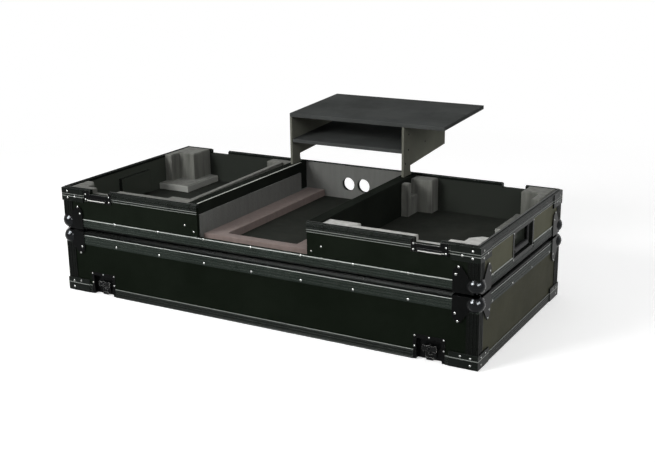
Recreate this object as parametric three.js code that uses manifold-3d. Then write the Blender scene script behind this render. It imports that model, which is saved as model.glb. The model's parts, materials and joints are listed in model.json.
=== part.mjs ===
// Coffin-style flight case for two players and a mixer, shown with the open base tray
// standing on its own lid and a laptop shelf plugged into the mixer bay.
// Millimetres, +X along the length, +Y to the back, +Z up.
import * as THREE from 'three';
import { mergeVertices } from 'three/addons/utils/BufferGeometryUtils.js';
import Module from 'manifold-3d';

const wasm = await Module();
wasm.setup();

// Whole case, measured over the ribs of the edge extrusions
const caseLength = 1120;
const caseDepth = 530;
const lidHeight = 160;
const stackGap = 10;
const baseHeight = 102;

// Fits
const seatGap = 0.3;
const cutOverrun = 4;

// Plywood panels
const panelThickness = 9;
const shelfPlateThickness = 6.5;

// Edge extrusions
const ribHeight = 0.8;
const ribWidth = 2.6;
const angleThickness = 1.6;
const beadSize = 2.8;
const lidAngleLeg = 32;
const baseAngleLeg = 24;
const postLeg = 28;
const lidRibCount = 4;
const baseRibCount = 3;
const postRibCount = 3;
const postLap = 1;

// Rim extrusions that cap the open edges of lid and base
const rimLeg = 22;
const rimRibCount = 3;
const rimCapThickness = 6;
const tongueInset = 4.6;
const tongueWidth = 3;
const tongueHeight = 2;
const grooveClearance = 0.3;

// Pressed braces round the corners of each rim
const braceThickness = 1.4;
const braceHeight = 34;
const braceFrontReach = 66;
const braceSideReach = 60;
const braceRimStep = 1;

// Stacking ball corners
const ballRadius = 20;
const ballProud = 4.85;
const ballSideProud = 8;
const wingThickness = 1.4;
const wingLength = 62;
const wingHeight = 60;
const wingCornerRadius = 18;
const ballSegments = 24;
const ballRings = 16;

// Butterfly latches in their dishes on the lid
const latchFromEnd = 112;
const dishPlate = 1.2;
const latchFlangeHalf = 37;
const latchFlangeHeight = 58;
const latchFlangeFoot = 1;
const latchRecessHalf = 30;
const latchRecessHeight = 50;
const latchRecessDepth = 12;
const dishCutClearance = 0.5;
const latchPivotHeight = 29;
const latchPinRadius = 3;
const latchPinStart = 3.2;
const pivotClearance = 0.15;
const hubRadius = 8;
const wingRadius = 19;
const wingHalfRoot = 4.5;
const wingHalfTip = 7.5;
const wingStart = 2.6;
const butterflyWing = 2.8;
const hookPlate = 2;
const hookHalf = 11.9;
const hookBottom = 1.5;
const hookTop = 31;
const hookSlotBottom = 13;
const hookSlotHalf = 3.6;
const hookLipHalf = 8;
const hookLipHeight = 3;
const hookTipHeight = 6.5;
const hookReach = 7;
const hookTravel = 10;
const railWidth = 2.8;
const railBottom = 6;
const railTop = 20;
const railDepth = 4;

// Catches for the latches, on the base rim
const catchFromEnd = 113;
const catchHalf = 43;
const catchBottom = 29;
const catchPlate = 1.2;
const catchNotchFromEnd = 119;
const catchNotchHalf = 30;
const catchNotchDepth = 10;
const catchBarHalf = 28;
const catchBarTop = 19;
const catchBarBottom = 27;
const catchBarLip = 3;
const catchBarProud = 4.4;
const catchBarThickness = 1.5;

// Spring handles recessed in the ends of the base
const handleFlangeHalf = 68;
const handleFlangeBottom = 10;
const handleFlangeTop = 84;
const handleFlangeRadius = 6;
const handleRecessHalf = 60;
const handleRecessBottom = 20;
const handleRecessTop = 76;
const handleRecessDepth = 20;
const bailRodRadius = 3;
const bailPivotHeight = 70;
const bailGripHeight = 29;
const bailSideGap = 7;
const bailBend = 5;
const bailDepth = 11;
const gripRadius = 6.5;
const gripEndGap = 10;
const rodSides = 10;
const gripSides = 16;
const bendSteps = 4;

// Mixer bay
const mixerNotchHalf = 149;
const dividerInner = 151;
const dividerThickness = 28;
const dividerRise = 2;
const linerThickness = 4.6;
const sideLinerTop = 78;
const sideLinerRearGap = 36;
const rearLinerTop = 101.5;
const cableHoleRadius = 18.5;
const cableHoleHeight = 52;
const cableHoleCentres = [-21.5, 24];
const riserInner = 94;
const riserHeight = 18.5;
const riserFront = 12;
const riserBar = 26;
const circleSides = 24;

// Foam in the player bays
const leftColumnX = 73;
const leftColumnY = 78;
const rightColumnX = 67;
const rightColumnY = 57;
const columnThinX = 23;
const columnReach = 114;
const plinthX = 98;
const plinthY = 145;
const plinthHeight = 18.3;
const columnTop = 104.5;
const leftBlockX = 80;
const leftBlockY = 33;
const leftBlockTop = 98;
const rightBlockX = 59;
const rightBlockY = 37;
const rightBlockTop = 98;
const rightPostX = 19;
const rightPostY = 16;
const rightPostReach = 94;
const rightWebTop = 60;
const frontPadDepth = 25;
const frontBlockX = 78;
const frontBlockY = 43;
const cornerBlockX = 40;
const cornerBlockY = 71;
const cornerBlockChamfer = 22;
const frontFoamTop = 100;
const frontDipTop = 88;
const frontDipHalf = 37;
const boardThickness = 13;
const boardFrontX = 192;
const boardRearX = 208;
const boardTop = 99.5;

// Laptop shelf
const shelfFront = 195;
const shelfRear = 456;
const shelfPlateOuter = 167.9;
const shelfBoardRight = 278;
const shelfBoardThickness = 10;
const shelfTiltDegrees = 2.75;
const storageHeight = 59.7;
const lowerBoardRise = 46;
const lowerBoardThickness = 9;
const lowerBoardSetback = 1.5;
const plateFrontRise = 25;
const plateRearRise = 39.4;
const neckDepth = 40;
const neckRise = 18;
const legDepth = 50;
const legShoulderDrop = 1;
const legReach = 70;
const slotClearance = 0.4;
const slotFloorGap = 2;
const neckSteps = 6;

// Derived places
const halfLength = caseLength / 2;
const halfDepth = caseDepth / 2;
const skin = ribHeight + angleThickness + seatGap;
const inner = skin + panelThickness;
const baseBottom = lidHeight + stackGap;
const rimZ = baseBottom + baseHeight;
const floorTop = baseBottom + inner;
const lidCeiling = lidHeight - inner;
const wallBottom = floorTop + seatGap;
const wallTop = rimZ - rimCapThickness - seatGap;
const bayHalfDepth = halfDepth - inner - seatGap;
const bayHalfLength = halfLength - inner - seatGap;
const bailHalf = handleRecessHalf - bailSideGap;
const gripHalf = bailHalf - gripEndGap;
const latchFromCentre = halfLength - latchFromEnd;
const latchEdgeInner = latchFromCentre - latchFlangeHalf - seatGap;
const latchEdgeOuter = latchFromCentre + latchFlangeHalf + seatGap;
const catchFromCentre = halfLength - catchFromEnd;
const catchNotchFromCentre = halfLength - catchNotchFromEnd;
const plateBottomFront = rimZ + plateFrontRise;
const lowerBoardHeight = plateBottomFront + lowerBoardRise;
const shelfBoardHeight = lowerBoardHeight + storageHeight + shelfBoardThickness;
const legBottom = rimZ - legReach;

const material = {
  laminate: new THREE.MeshStandardMaterial({ color: 0x141a16, roughness: 0.42, metalness: 0 }),
  extrusion: new THREE.MeshStandardMaterial({ color: 0x434746, roughness: 0.34, metalness: 0.85 }),
  hardware: new THREE.MeshStandardMaterial({ color: 0x101112, roughness: 0.3, metalness: 0.75 }),
  catchSteel: new THREE.MeshStandardMaterial({ color: 0x17191a, roughness: 0.28, metalness: 0.8 }),
  grip: new THREE.MeshStandardMaterial({ color: 0x0d0d0e, roughness: 0.7, metalness: 0 }),
  divider: new THREE.MeshStandardMaterial({ color: 0x1b1f1c, roughness: 0.6, metalness: 0 }),
  liner: new THREE.MeshStandardMaterial({ color: 0x5f6060, roughness: 0.95, metalness: 0 }),
  riser: new THREE.MeshStandardMaterial({ color: 0x786c69, roughness: 0.95, metalness: 0 }),
  foam: new THREE.MeshStandardMaterial({ color: 0x6c6c69, roughness: 0.95, metalness: 0 }),
  shelf: new THREE.MeshStandardMaterial({ color: 0x3e4040, roughness: 0.5, metalness: 0 }),
  shelfPlate: new THREE.MeshStandardMaterial({ color: 0x4b4b41, roughness: 0.55, metalness: 0 }),
};

const flightCase = new THREE.Group();
flightCase.name = 'dj_coffin_case';

// Turns a closed three.js geometry into a solid that can be cut and joined.
function solidOf(geometry) {
  const plain = geometry.clone();
  plain.deleteAttribute('normal');
  plain.deleteAttribute('uv');
  const merged = mergeVertices(plain);
  return new wasm.Manifold(new wasm.Mesh({
    numProp: 3,
    vertProperties: Float32Array.from(merged.attributes.position.array),
    triVerts: Uint32Array.from(merged.index.array),
  }));
}

// Adds one finished solid to the case as a named piece.
function addPiece(name, solid, finish) {
  const mesh = solid.getMesh();
  const geometry = new THREE.BufferGeometry();
  geometry.setAttribute('position', new THREE.BufferAttribute(mesh.vertProperties, mesh.numProp));
  geometry.setIndex(new THREE.BufferAttribute(mesh.triVerts, 1));
  geometry.computeVertexNormals();
  const piece = new THREE.Mesh(geometry, finish);
  piece.name = name;
  flightCase.add(piece);
}

function joined(solids) {
  return solids.reduce((whole, next) => whole.add(next));
}

// A block between two places on each axis.
function block(x, y, z) {
  const size = [x, y, z].map(([from, to]) => Math.abs(to - from));
  const middle = [x, y, z].map(([from, to]) => (from + to) / 2);
  const geometry = new THREE.BoxGeometry(...size);
  geometry.translate(...middle);
  return solidOf(geometry);
}

// A straight prism of an outline, along one axis, between two places on it.
// The outline is in (y, z) along x, in (x, z) along y and in (x, y) along z.
function prism(axis, outline, from, to) {
  const low = Math.min(from, to);
  const high = Math.max(from, to);
  const shape = new THREE.Shape(outline.map(([a, b]) => new THREE.Vector2(a, b)));
  const geometry = new THREE.ExtrudeGeometry(shape, { depth: high - low, bevelEnabled: false });
  const turn = new THREE.Matrix4();
  if (axis === 'x') {
    turn.set(0, 0, 1, low, 1, 0, 0, 0, 0, 1, 0, 0, 0, 0, 0, 1);
  } else if (axis === 'y') {
    turn.set(1, 0, 0, 0, 0, 0, -1, high, 0, 1, 0, 0, 0, 0, 0, 1);
  } else {
    turn.makeTranslation(0, 0, low);
  }
  geometry.applyMatrix4(turn);
  return solidOf(geometry);
}

// The four walls: the axis that each one runs along, and the place of a depth into it.
const walls = {
  count: 4,
  front: { along: 'x', into: (depth) => -halfDepth + depth },
  rear: { along: 'x', into: (depth) => halfDepth - depth },
  left: { along: 'y', into: (depth) => -halfLength + depth },
  right: { along: 'y', into: (depth) => halfLength - depth },
};

// A block on a wall: along it, into it from the outside, and in height.
function wallBlock(wall, along, depth, height) {
  const { along: axis, into } = walls[wall];
  const across = [into(depth[0]), into(depth[1])];
  return axis === 'x' ? block(along, across, height) : block(across, along, height);
}

// A section in (depth, height) carried along a wall.
function wallRun(wall, section, from, to) {
  const { along: axis, into } = walls[wall];
  return prism(axis, section.map(([depth, height]) => [into(depth), height]), from, to);
}

// An outline in (place along the wall, height) carried into the wall.
function wallPlate(wall, outline, depthFrom, depthTo) {
  const { along: axis, into } = walls[wall];
  return prism(axis === 'x' ? 'y' : 'x', outline, into(depthFrom), into(depthTo));
}

function circle(centreA, centreB, radius, sides) {
  return Array.from({ length: sides }, (_, i) => {
    const angle = (i / sides) * Math.PI * 2;
    return [centreA + radius * Math.cos(angle), centreB + radius * Math.sin(angle)];
  });
}

function rectangle(a, b) {
  return [[a[0], b[0]], [a[1], b[0]], [a[1], b[1]], [a[0], b[1]]];
}

function roundedRectangle(a, b, radius) {
  const shape = new THREE.Shape();
  shape.moveTo(a[0] + radius, b[0]);
  shape.absarc(a[1] - radius, b[0] + radius, radius, -Math.PI / 2, 0);
  shape.absarc(a[1] - radius, b[1] - radius, radius, 0, Math.PI / 2);
  shape.absarc(a[0] + radius, b[1] - radius, radius, Math.PI / 2, Math.PI);
  shape.absarc(a[0] + radius, b[0] + radius, radius, Math.PI, Math.PI * 1.5);
  return shape.getPoints(bendSteps).slice(1).map((point) => [point.x, point.y]);
}

// One ribbed outer face of an extrusion, from the bead at its corner to the end of its leg,
// as (depth, distance from the corner) points.
function ribbedFace(leg, ribCount) {
  const ribStart = beadSize + ribHeight * 2;
  const pitch = (leg - ribStart) / ribCount;
  const face = [[0, beadSize / 2], [0, beadSize], [ribHeight, beadSize + ribHeight]];
  for (let i = 0; i < ribCount; i += 1) {
    const from = ribStart + i * pitch;
    face.push([ribHeight, from]);
    face.push([0, from + ribHeight / 2]);
    face.push([0, from + ribWidth - ribHeight / 2]);
    face.push([ribHeight, from + ribWidth]);
  }
  face.push([ribHeight, leg]);
  return face.filter(([depth, far], i) => {
    const before = face[i - 1];
    return !before || depth !== before[0] || far !== before[1];
  });
}

// Section of a ribbed angle: both legs have the same outer face.
function angleSection(leg, ribCount) {
  const face = ribbedFace(leg, ribCount);
  const mirrored = face.map(([depth, far]) => [far, depth]).reverse();
  const back = ribHeight + angleThickness;
  return [[back, back], [leg, back], ...mirrored, ...face, [back, leg]];
}

// Section of a rim extrusion, as (depth, distance from the rim plane), with a tongue
// that stands out of the rim or a groove that takes it.
function rimSection(hasTongue) {
  const face = ribbedFace(rimLeg, rimRibCount).reverse();
  const back = ribHeight + angleThickness;
  const clearance = hasTongue ? 0 : grooveClearance;
  const reach = hasTongue ? -tongueHeight : tongueHeight + clearance;
  const near = tongueInset - clearance;
  const far = tongueInset + tongueWidth + clearance;
  return [
    [back, rimLeg], ...face, [beadSize / 2, 0],
    [near, 0], [near, reach], [far, reach], [far, 0],
    [inner, 0], [inner, rimCapThickness], [back, rimCapThickness],
  ];
}

// A section given from an edge, placed at a height and read up or down from it.
function placed(section, height, upward) {
  return section.map(([depth, far]) => [depth, upward ? height + far : height - far]);
}

const cornersOfPlan = [
  { name: 'front_left', wall: 'front', end: 'left', signX: -1, signY: -1 },
  { name: 'front_right', wall: 'front', end: 'right', signX: 1, signY: -1 },
  { name: 'rear_left', wall: 'rear', end: 'left', signX: -1, signY: 1 },
  { name: 'rear_right', wall: 'rear', end: 'right', signX: 1, signY: 1 },
];

// Upright corner angle between two heights.
function cornerPost(corner, from, to) {
  const outline = angleSection(postLeg, postRibCount).map(([a, b]) => [
    corner.signX * (halfLength - a),
    corner.signY * (halfDepth - b),
  ]);
  return prism('z', outline, from, to);
}

// A section in (depth, height) carried round all four walls, mitred at the corners:
// a square ring of revolution, drawn out along the length of the case.
function mitredRing(section) {
  const square = section.map(([depth, height]) => new THREE.Vector2(
    (halfDepth - depth) * Math.SQRT2,
    height,
  ));
  if (THREE.ShapeUtils.isClockWise(square)) {
    square.reverse();
  }
  const geometry = new THREE.LatheGeometry([...square, square[0]], walls.count, Math.PI / walls.count);
  geometry.rotateX(Math.PI / 2);
  const { position } = geometry.attributes;
  for (let i = 0; i < position.count; i += 1) {
    const x = position.getX(i);
    position.setX(i, x + Math.sign(x) * (halfLength - halfDepth));
  }
  return solidOf(geometry);
}

// Place of the eighth of space beyond a ball's centre, from a clearance past that centre.
function ballOctant(corner, faceZ, upward, clearance) {
  const signZ = upward ? 1 : -1;
  const inset = ballRadius - ballSideProud - clearance;
  const insetZ = ballRadius - ballProud - clearance;
  return block(
    [corner.signX * (halfLength - inset), corner.signX * (halfLength + cutOverrun)],
    [corner.signY * (halfDepth - inset), corner.signY * (halfDepth + cutOverrun)],
    [faceZ - signZ * insetZ, faceZ + signZ * cutOverrun],
  );
}

// Frame of angles round a closed face of lid or base, with the four upright corner angles,
// cut back under the ball corners.
function edgeFrame(section, faceZ, upward, postFrom, postTo) {
  const posts = cornersOfPlan.map((corner) => cornerPost(corner, postFrom, postTo));
  const cuts = cornersOfPlan.map((corner) => ballOctant(corner, faceZ, upward, 0));
  return joined([mitredRing(section), ...posts]).subtract(joined(cuts));
}

// Pressed plates that wrap one corner of a rim, on its long and its short side.
function cornerBrace(corner, low, high) {
  const proud = halfLength + braceThickness;
  const proudDepth = halfDepth + braceThickness;
  const back = ribHeight + angleThickness;
  return joined([
    wallBlock(
      corner.wall,
      [corner.signX * proud, corner.signX * (halfLength - braceFrontReach)],
      [-braceThickness, back],
      [low, high],
    ),
    wallBlock(
      corner.end,
      [corner.signY * proudDepth, corner.signY * (halfDepth - braceSideReach)],
      [-braceThickness, back],
      [low, high],
    ),
  ]);
}

// Ball corner over one corner of a closed face: three wings and a ball that stands
// proud of each of them, hollowed to fit over the extrusions.
function ballCorner(corner, faceZ, upward) {
  const signZ = upward ? 1 : -1;
  const inset = ballRadius - ballSideProud;
  const outX = halfLength + seatGap + wingThickness;
  const outY = halfDepth + seatGap + wingThickness;
  const outZ = seatGap + wingThickness;
  const wingFace = (reachA, reachB) => {
    const shape = new THREE.Shape();
    shape.moveTo(0, 0);
    shape.lineTo(reachA, 0);
    shape.lineTo(reachA, reachB - wingCornerRadius);
    shape.absarc(reachA - wingCornerRadius, reachB - wingCornerRadius, wingCornerRadius, 0, Math.PI / 2);
    shape.lineTo(0, reachB);
    return shape.getPoints(bendSteps).slice(0, -1);
  };
  const frontWing = prism(
    'y',
    wingFace(wingLength, wingHeight).map(({ x, y }) => [
      corner.signX * (outX - x),
      faceZ + signZ * (outZ - y),
    ]),
    corner.signY * outY,
    corner.signY * (outY - ballRadius),
  );
  const sideWing = prism(
    'x',
    wingFace(wingLength, wingHeight).map(({ x, y }) => [
      corner.signY * (outY - x),
      faceZ + signZ * (outZ - y),
    ]),
    corner.signX * outX,
    corner.signX * (outX - ballRadius),
  );
  const flatWing = prism(
    'z',
    wingFace(wingLength, wingHeight).map(({ x, y }) => [
      corner.signX * (outX - x),
      corner.signY * (outY - y),
    ]),
    faceZ + signZ * outZ,
    faceZ + signZ * (outZ - ballRadius),
  );
  const ballGeometry = new THREE.SphereGeometry(ballRadius, ballSegments, ballRings);
  ballGeometry.translate(
    corner.signX * (halfLength - inset),
    corner.signY * (halfDepth - inset),
    faceZ - signZ * (ballRadius - ballProud),
  );
  const envelope = block(
    [-halfLength - seatGap, halfLength + seatGap],
    [-halfDepth - seatGap, halfDepth + seatGap],
    [faceZ + signZ * seatGap, faceZ - signZ * caseDepth],
  );
  const panels = block(
    [-halfLength + skin - seatGap, halfLength - skin + seatGap],
    [-halfDepth + skin - seatGap, halfDepth - skin + seatGap],
    [faceZ - signZ * (skin - seatGap), faceZ - signZ * caseDepth],
  );
  const covered = envelope.subtract(ballOctant(corner, faceZ, upward, seatGap)).add(panels);
  const wings = joined([frontWing, sideWing, flatWing]).subtract(ballOctant(corner, faceZ, upward, 0));
  return wings.add(solidOf(ballGeometry)).subtract(covered);
}

// Path whose sections lie at its own points only, so that straight runs take one step.
class RodPath extends THREE.Curve {
  constructor(points) {
    super();
    this.points = points;
  }

  getPoint(t) {
    return this.points[Math.round(t * (this.points.length - 1))].clone();
  }

  getPointAt(t) {
    return this.getPoint(t);
  }

  getTangentAt(t) {
    const i = Math.round(t * (this.points.length - 1));
    const before = this.points[Math.max(i - 1, 0)];
    const after = this.points[Math.min(i + 1, this.points.length - 1)];
    return after.clone().sub(before).normalize();
  }
}

// Rod of one thickness through a list of points, with rounded bends.
function bentRod(points, radius, bend, sides) {
  const samples = [points[0]];
  for (let i = 1; i < points.length - 1; i += 1) {
    const before = points[i].clone().lerp(points[i - 1], bend / points[i].distanceTo(points[i - 1]));
    const after = points[i].clone().lerp(points[i + 1], bend / points[i].distanceTo(points[i + 1]));
    samples.push(...new THREE.QuadraticBezierCurve3(before, points[i], after).getPoints(bendSteps));
  }
  samples.push(points[points.length - 1]);
  const section = new THREE.Shape(circle(0, 0, radius, sides).map(([a, b]) => new THREE.Vector2(a, b)));
  const steps = samples.length - 1;
  return solidOf(new THREE.ExtrudeGeometry(section, { steps, extrudePath: new RodPath(samples) }));
}

// Lid panels
function addLidPanels() {
  const longHalf = halfLength - skin;
  const wideHalf = halfDepth - skin;
  const wallHeight = [rimCapThickness + seatGap, lidCeiling - seatGap];
  const top = block([-longHalf, longHalf], [-wideHalf, wideHalf], [lidCeiling, lidHeight - skin]);
  addPiece('lid_top_panel', top, material.laminate);
  const cutHalf = latchRecessHalf + dishPlate + dishCutClearance;
  const cutTop = latchRecessHeight + dishPlate + dishCutClearance;
  for (const wall of ['front', 'rear']) {
    let panel = wallBlock(wall, [-longHalf, longHalf], [skin, inner], wallHeight);
    for (const centre of [-latchFromCentre, latchFromCentre]) {
      const cut = wallBlock(wall, [centre - cutHalf, centre + cutHalf], [0, inner + cutOverrun], [0, cutTop]);
      panel = panel.subtract(cut);
    }
    addPiece(`lid_${wall}_panel`, panel, material.laminate);
  }
  for (const wall of ['left', 'right']) {
    const panel = wallBlock(wall, [-bayHalfDepth, bayHalfDepth], [skin, inner], wallHeight);
    addPiece(`lid_${wall}_panel`, panel, material.laminate);
  }
}

// Lid extrusions: the ribbed frame of the closed face and the four rim lengths
function addLidExtrusions() {
  const section = placed(angleSection(lidAngleLeg, lidRibCount), lidHeight, false);
  const postTop = lidHeight - lidAngleLeg + postLap;
  const frame = edgeFrame(section, lidHeight, true, braceHeight + seatGap, postTop);
  addPiece('lid_edge_frame', frame, material.extrusion);
  const rim = placed(rimSection(false), 0, true);
  for (const wall of ['front', 'rear']) {
    addPiece(`lid_rim_${wall}`, wallRun(wall, rim, -latchEdgeInner, latchEdgeInner), material.extrusion);
  }
  const ring = mitredRing(rim);
  for (const end of ['left', 'right']) {
    const corners = cornersOfPlan.filter((corner) => corner.end === end);
    const [{ signX }] = corners;
    const endBlock = block(
      [signX * latchEdgeOuter, signX * (halfLength + cutOverrun)],
      [-halfDepth - cutOverrun, halfDepth + cutOverrun],
      [-cutOverrun, lidHeight],
    );
    const braces = corners.map((corner) => cornerBrace(corner, braceRimStep, braceHeight));
    addPiece(`lid_rim_${end}`, joined([ring.intersect(endBlock), ...braces]), material.extrusion);
  }
}

// Pressed dish of one latch, with the pivot pin and the rails that guide the hook
function latchDish(wall, centre) {
  const outside = ribHeight + angleThickness - dishPlate;
  const back = outside + dishPlate + latchRecessDepth;
  const across = (half) => [centre - half, centre + half];
  const flange = wallBlock(
    wall,
    across(latchFlangeHalf),
    [outside, outside + dishPlate],
    [latchFlangeFoot, latchFlangeHeight],
  );
  const pan = wallBlock(
    wall,
    across(latchRecessHalf + dishPlate),
    [outside, back],
    [latchFlangeFoot, latchRecessHeight + dishPlate],
  );
  const hollow = wallBlock(
    wall,
    across(latchRecessHalf),
    [-cutOverrun, back - dishPlate],
    [-cutOverrun, latchRecessHeight],
  );
  const pin = wallPlate(
    wall,
    circle(centre, latchPivotHeight, latchPinRadius, circleSides),
    latchPinStart,
    back - dishPlate / 2,
  );
  const railInner = hookHalf + seatGap;
  const rails = [-1, 1].map((sign) => wallBlock(
    wall,
    [centre + sign * railInner, centre + sign * (railInner + railWidth)],
    [back - dishPlate - railDepth, back - dishPlate / 2],
    [railBottom, railTop],
  ));
  return joined([flange.add(pan).subtract(hollow), pin, ...rails]);
}

// Two-winged turn piece of a latch, bored for the dish's pin
function latchButterfly(wall, centre) {
  const hookFront = ribHeight + angleThickness + latchRecessDepth - dishPlate - seatGap - hookPlate;
  const wing = [];
  for (const side of [1, -1]) {
    wing.push([centre + side * hubRadius / 2, latchPivotHeight - side * wingHalfRoot]);
    wing.push([centre + side * (wingRadius - wingHalfRoot), latchPivotHeight - side * wingHalfTip]);
    wing.push([centre + side * (wingRadius - wingHalfRoot / 2), latchPivotHeight - side * wingHalfRoot]);
    wing.push([centre + side * (wingRadius - wingHalfRoot / 2), latchPivotHeight + side * wingHalfRoot]);
    wing.push([centre + side * (wingRadius - wingHalfRoot), latchPivotHeight + side * wingHalfTip]);
    wing.push([centre + side * hubRadius / 2, latchPivotHeight + side * wingHalfRoot]);
  }
  const wings = wallPlate(wall, wing, wingStart, wingStart + butterflyWing);
  const hub = wallPlate(
    wall,
    circle(centre, latchPivotHeight, hubRadius, circleSides),
    wingStart,
    hookFront - seatGap,
  );
  const bore = wallPlate(
    wall,
    circle(centre, latchPivotHeight, latchPinRadius + pivotClearance, circleSides),
    -cutOverrun,
    hookFront + cutOverrun,
  );
  return wings.add(hub).subtract(bore);
}

// Sliding hook of a latch: a slotted plate with a lip turned out at its foot
function latchHook(wall, centre) {
  const back = ribHeight + angleThickness + latchRecessDepth - dishPlate - seatGap;
  const front = back - hookPlate;
  const plate = wallBlock(wall, [centre - hookHalf, centre + hookHalf], [front, back], [hookBottom, hookTop]);
  const slot = wallBlock(
    wall,
    [centre - hookSlotHalf, centre + hookSlotHalf],
    [front - cutOverrun, back + cutOverrun],
    [hookSlotBottom, hookTop + cutOverrun],
  );
  const lip = wallBlock(
    wall,
    [centre - hookLipHalf, centre + hookLipHalf],
    [back - hookReach, back],
    [hookBottom, hookBottom + hookLipHeight],
  );
  const tip = wallBlock(
    wall,
    [centre - hookLipHalf, centre + hookLipHalf],
    [back - hookReach, back - hookReach + hookPlate],
    [hookBottom, hookBottom + hookTipHeight],
  );
  return joined([plate.subtract(slot), lip, tip]);
}

function addLatches() {
  for (const corner of cornersOfPlan) {
    const centre = corner.signX * latchFromCentre;
    addPiece(`latch_dish_${corner.name}`, latchDish(corner.wall, centre), material.hardware);
    addPiece(`latch_butterfly_${corner.name}`, latchButterfly(corner.wall, centre), material.catchSteel);
    addPiece(`latch_hook_${corner.name}`, latchHook(corner.wall, centre), material.catchSteel);
  }
}

// Base panels, with the mixer's way out at the front, the cable holes at the back
// and the handle cut-outs at the ends
function addBasePanels() {
  const longHalf = halfLength - skin;
  const wideHalf = halfDepth - skin;
  const wallHeight = [wallBottom, wallTop];
  const floor = block([-longHalf, longHalf], [-wideHalf, wideHalf], [baseBottom + skin, floorTop]);
  addPiece('base_floor_panel', floor, material.laminate);

  const catchCuts = (wall) => [-1, 1].map((sign) => wallBlock(
    wall,
    [sign * (catchNotchFromCentre - catchNotchHalf), sign * (catchNotchFromCentre + catchNotchHalf)],
    [0, inner + cutOverrun],
    [rimZ - catchNotchDepth - seatGap, rimZ + cutOverrun],
  ));
  const mixerNotch = wallBlock(
    'front',
    [-mixerNotchHalf, mixerNotchHalf],
    [0, inner + cutOverrun],
    [baseBottom + baseAngleLeg, rimZ + cutOverrun],
  );
  const front = wallBlock('front', [-longHalf, longHalf], [skin, inner], wallHeight);
  const frontCuts = joined([mixerNotch, ...catchCuts('front')]);
  addPiece('base_front_panel', front.subtract(frontCuts), material.laminate);

  const rear = wallBlock('rear', [-longHalf, longHalf], [skin, inner], wallHeight);
  const rearCuts = joined([...catchCuts('rear'), ...cableHoles(0, inner + cutOverrun)]);
  addPiece('base_rear_panel', rear.subtract(rearCuts), material.laminate);

  const clear = dishPlate + dishCutClearance;
  for (const end of ['left', 'right']) {
    const panel = wallBlock(end, [-bayHalfDepth, bayHalfDepth], [skin, inner], wallHeight);
    const cut = wallBlock(
      end,
      [-handleRecessHalf - clear, handleRecessHalf + clear],
      [0, inner + cutOverrun],
      [baseBottom + handleRecessBottom - clear, baseBottom + handleRecessTop + clear],
    );
    addPiece(`base_${end}_panel`, panel.subtract(cut), material.laminate);
  }
}

// Round cable holes through the rear wall, between two depths
function cableHoles(depthFrom, depthTo) {
  return cableHoleCentres.map((centre) => wallPlate(
    'rear',
    circle(centre, baseBottom + cableHoleHeight, cableHoleRadius, circleSides),
    depthFrom,
    depthTo,
  ));
}

function addBaseExtrusions() {
  const section = placed(angleSection(baseAngleLeg, baseRibCount), baseBottom, true);
  const postFoot = baseBottom + baseAngleLeg - postLap;
  const frame = edgeFrame(section, baseBottom, false, postFoot, rimZ - braceHeight - seatGap);
  const handleNotches = ['left', 'right'].map((end) => wallBlock(
    end,
    [-handleFlangeHalf - dishCutClearance, handleFlangeHalf + dishCutClearance],
    [-cutOverrun, skin],
    [
      baseBottom + handleFlangeBottom - dishCutClearance,
      baseBottom + handleFlangeTop + dishCutClearance,
    ],
  ));
  addPiece('base_edge_frame', frame.subtract(joined(handleNotches)), material.extrusion);

  const rim = mitredRing(placed(rimSection(true), rimZ, false));
  const mixerNotch = block(
    [-mixerNotchHalf, mixerNotchHalf],
    [-halfDepth - cutOverrun, 0],
    [baseBottom, rimZ + tongueHeight + cutOverrun],
  );
  const braces = cornersOfPlan.map((corner) => cornerBrace(corner, rimZ - braceHeight, rimZ - braceRimStep));
  const catchNotches = cornersOfPlan.map((corner) => wallBlock(
    corner.wall,
    [
      corner.signX * (catchNotchFromCentre - catchNotchHalf),
      corner.signX * (catchNotchFromCentre + catchNotchHalf),
    ],
    [-cutOverrun, inner + cutOverrun],
    [rimZ - catchNotchDepth, rimZ + tongueHeight + cutOverrun],
  ));
  const notches = joined([mixerNotch, ...catchNotches, ...handleNotches]);
  addPiece('base_rim', joined([rim, ...braces]).subtract(notches), material.extrusion);
}

// Catch plate of a latch: a notched plate with a folded bar that the hook grips
function catchPlateSolid(wall, sign) {
  const from = catchFromCentre - catchHalf;
  const to = catchFromCentre + catchHalf;
  const notchFrom = catchNotchFromCentre - catchNotchHalf;
  const notchTo = catchNotchFromCentre + catchNotchHalf;
  const top = rimZ - braceRimStep;
  const outline = [
    [from, rimZ - catchBottom], [to, rimZ - catchBottom], [to, top],
    [notchTo, top], [notchTo, rimZ - catchNotchDepth],
    [notchFrom, rimZ - catchNotchDepth], [notchFrom, top], [from, top],
  ].map(([along, height]) => [sign * along, height]);
  const plateFront = -seatGap - catchPlate;
  const plate = wallPlate(wall, outline, plateFront, -seatGap);
  const bar = wallRun(
    wall,
    [
      [plateFront + catchPlate / 2, rimZ - catchBarTop],
      [-catchBarProud, rimZ - catchBarTop - catchBarLip],
      [-catchBarProud, rimZ - catchBarBottom],
      [-catchBarProud + catchBarThickness, rimZ - catchBarBottom],
      [-catchBarProud + catchBarThickness, rimZ - catchBarTop - catchBarLip - catchBarThickness],
      [plateFront + catchPlate / 2, rimZ - catchBarTop - catchBarLip],
    ],
    sign * (catchFromCentre - catchBarHalf),
    sign * (catchFromCentre + catchBarHalf),
  );
  return plate.add(bar);
}

function addCatches() {
  for (const corner of cornersOfPlan) {
    addPiece(`catch_plate_${corner.name}`, catchPlateSolid(corner.wall, corner.signX), material.catchSteel);
  }
}

function addBallCorners() {
  for (const corner of cornersOfPlan) {
    addPiece(`lid_ball_corner_${corner.name}`, ballCorner(corner, lidHeight, true), material.hardware);
  }
  for (const corner of cornersOfPlan) {
    addPiece(`base_ball_corner_${corner.name}`, ballCorner(corner, baseBottom, false), material.hardware);
  }
}

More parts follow.
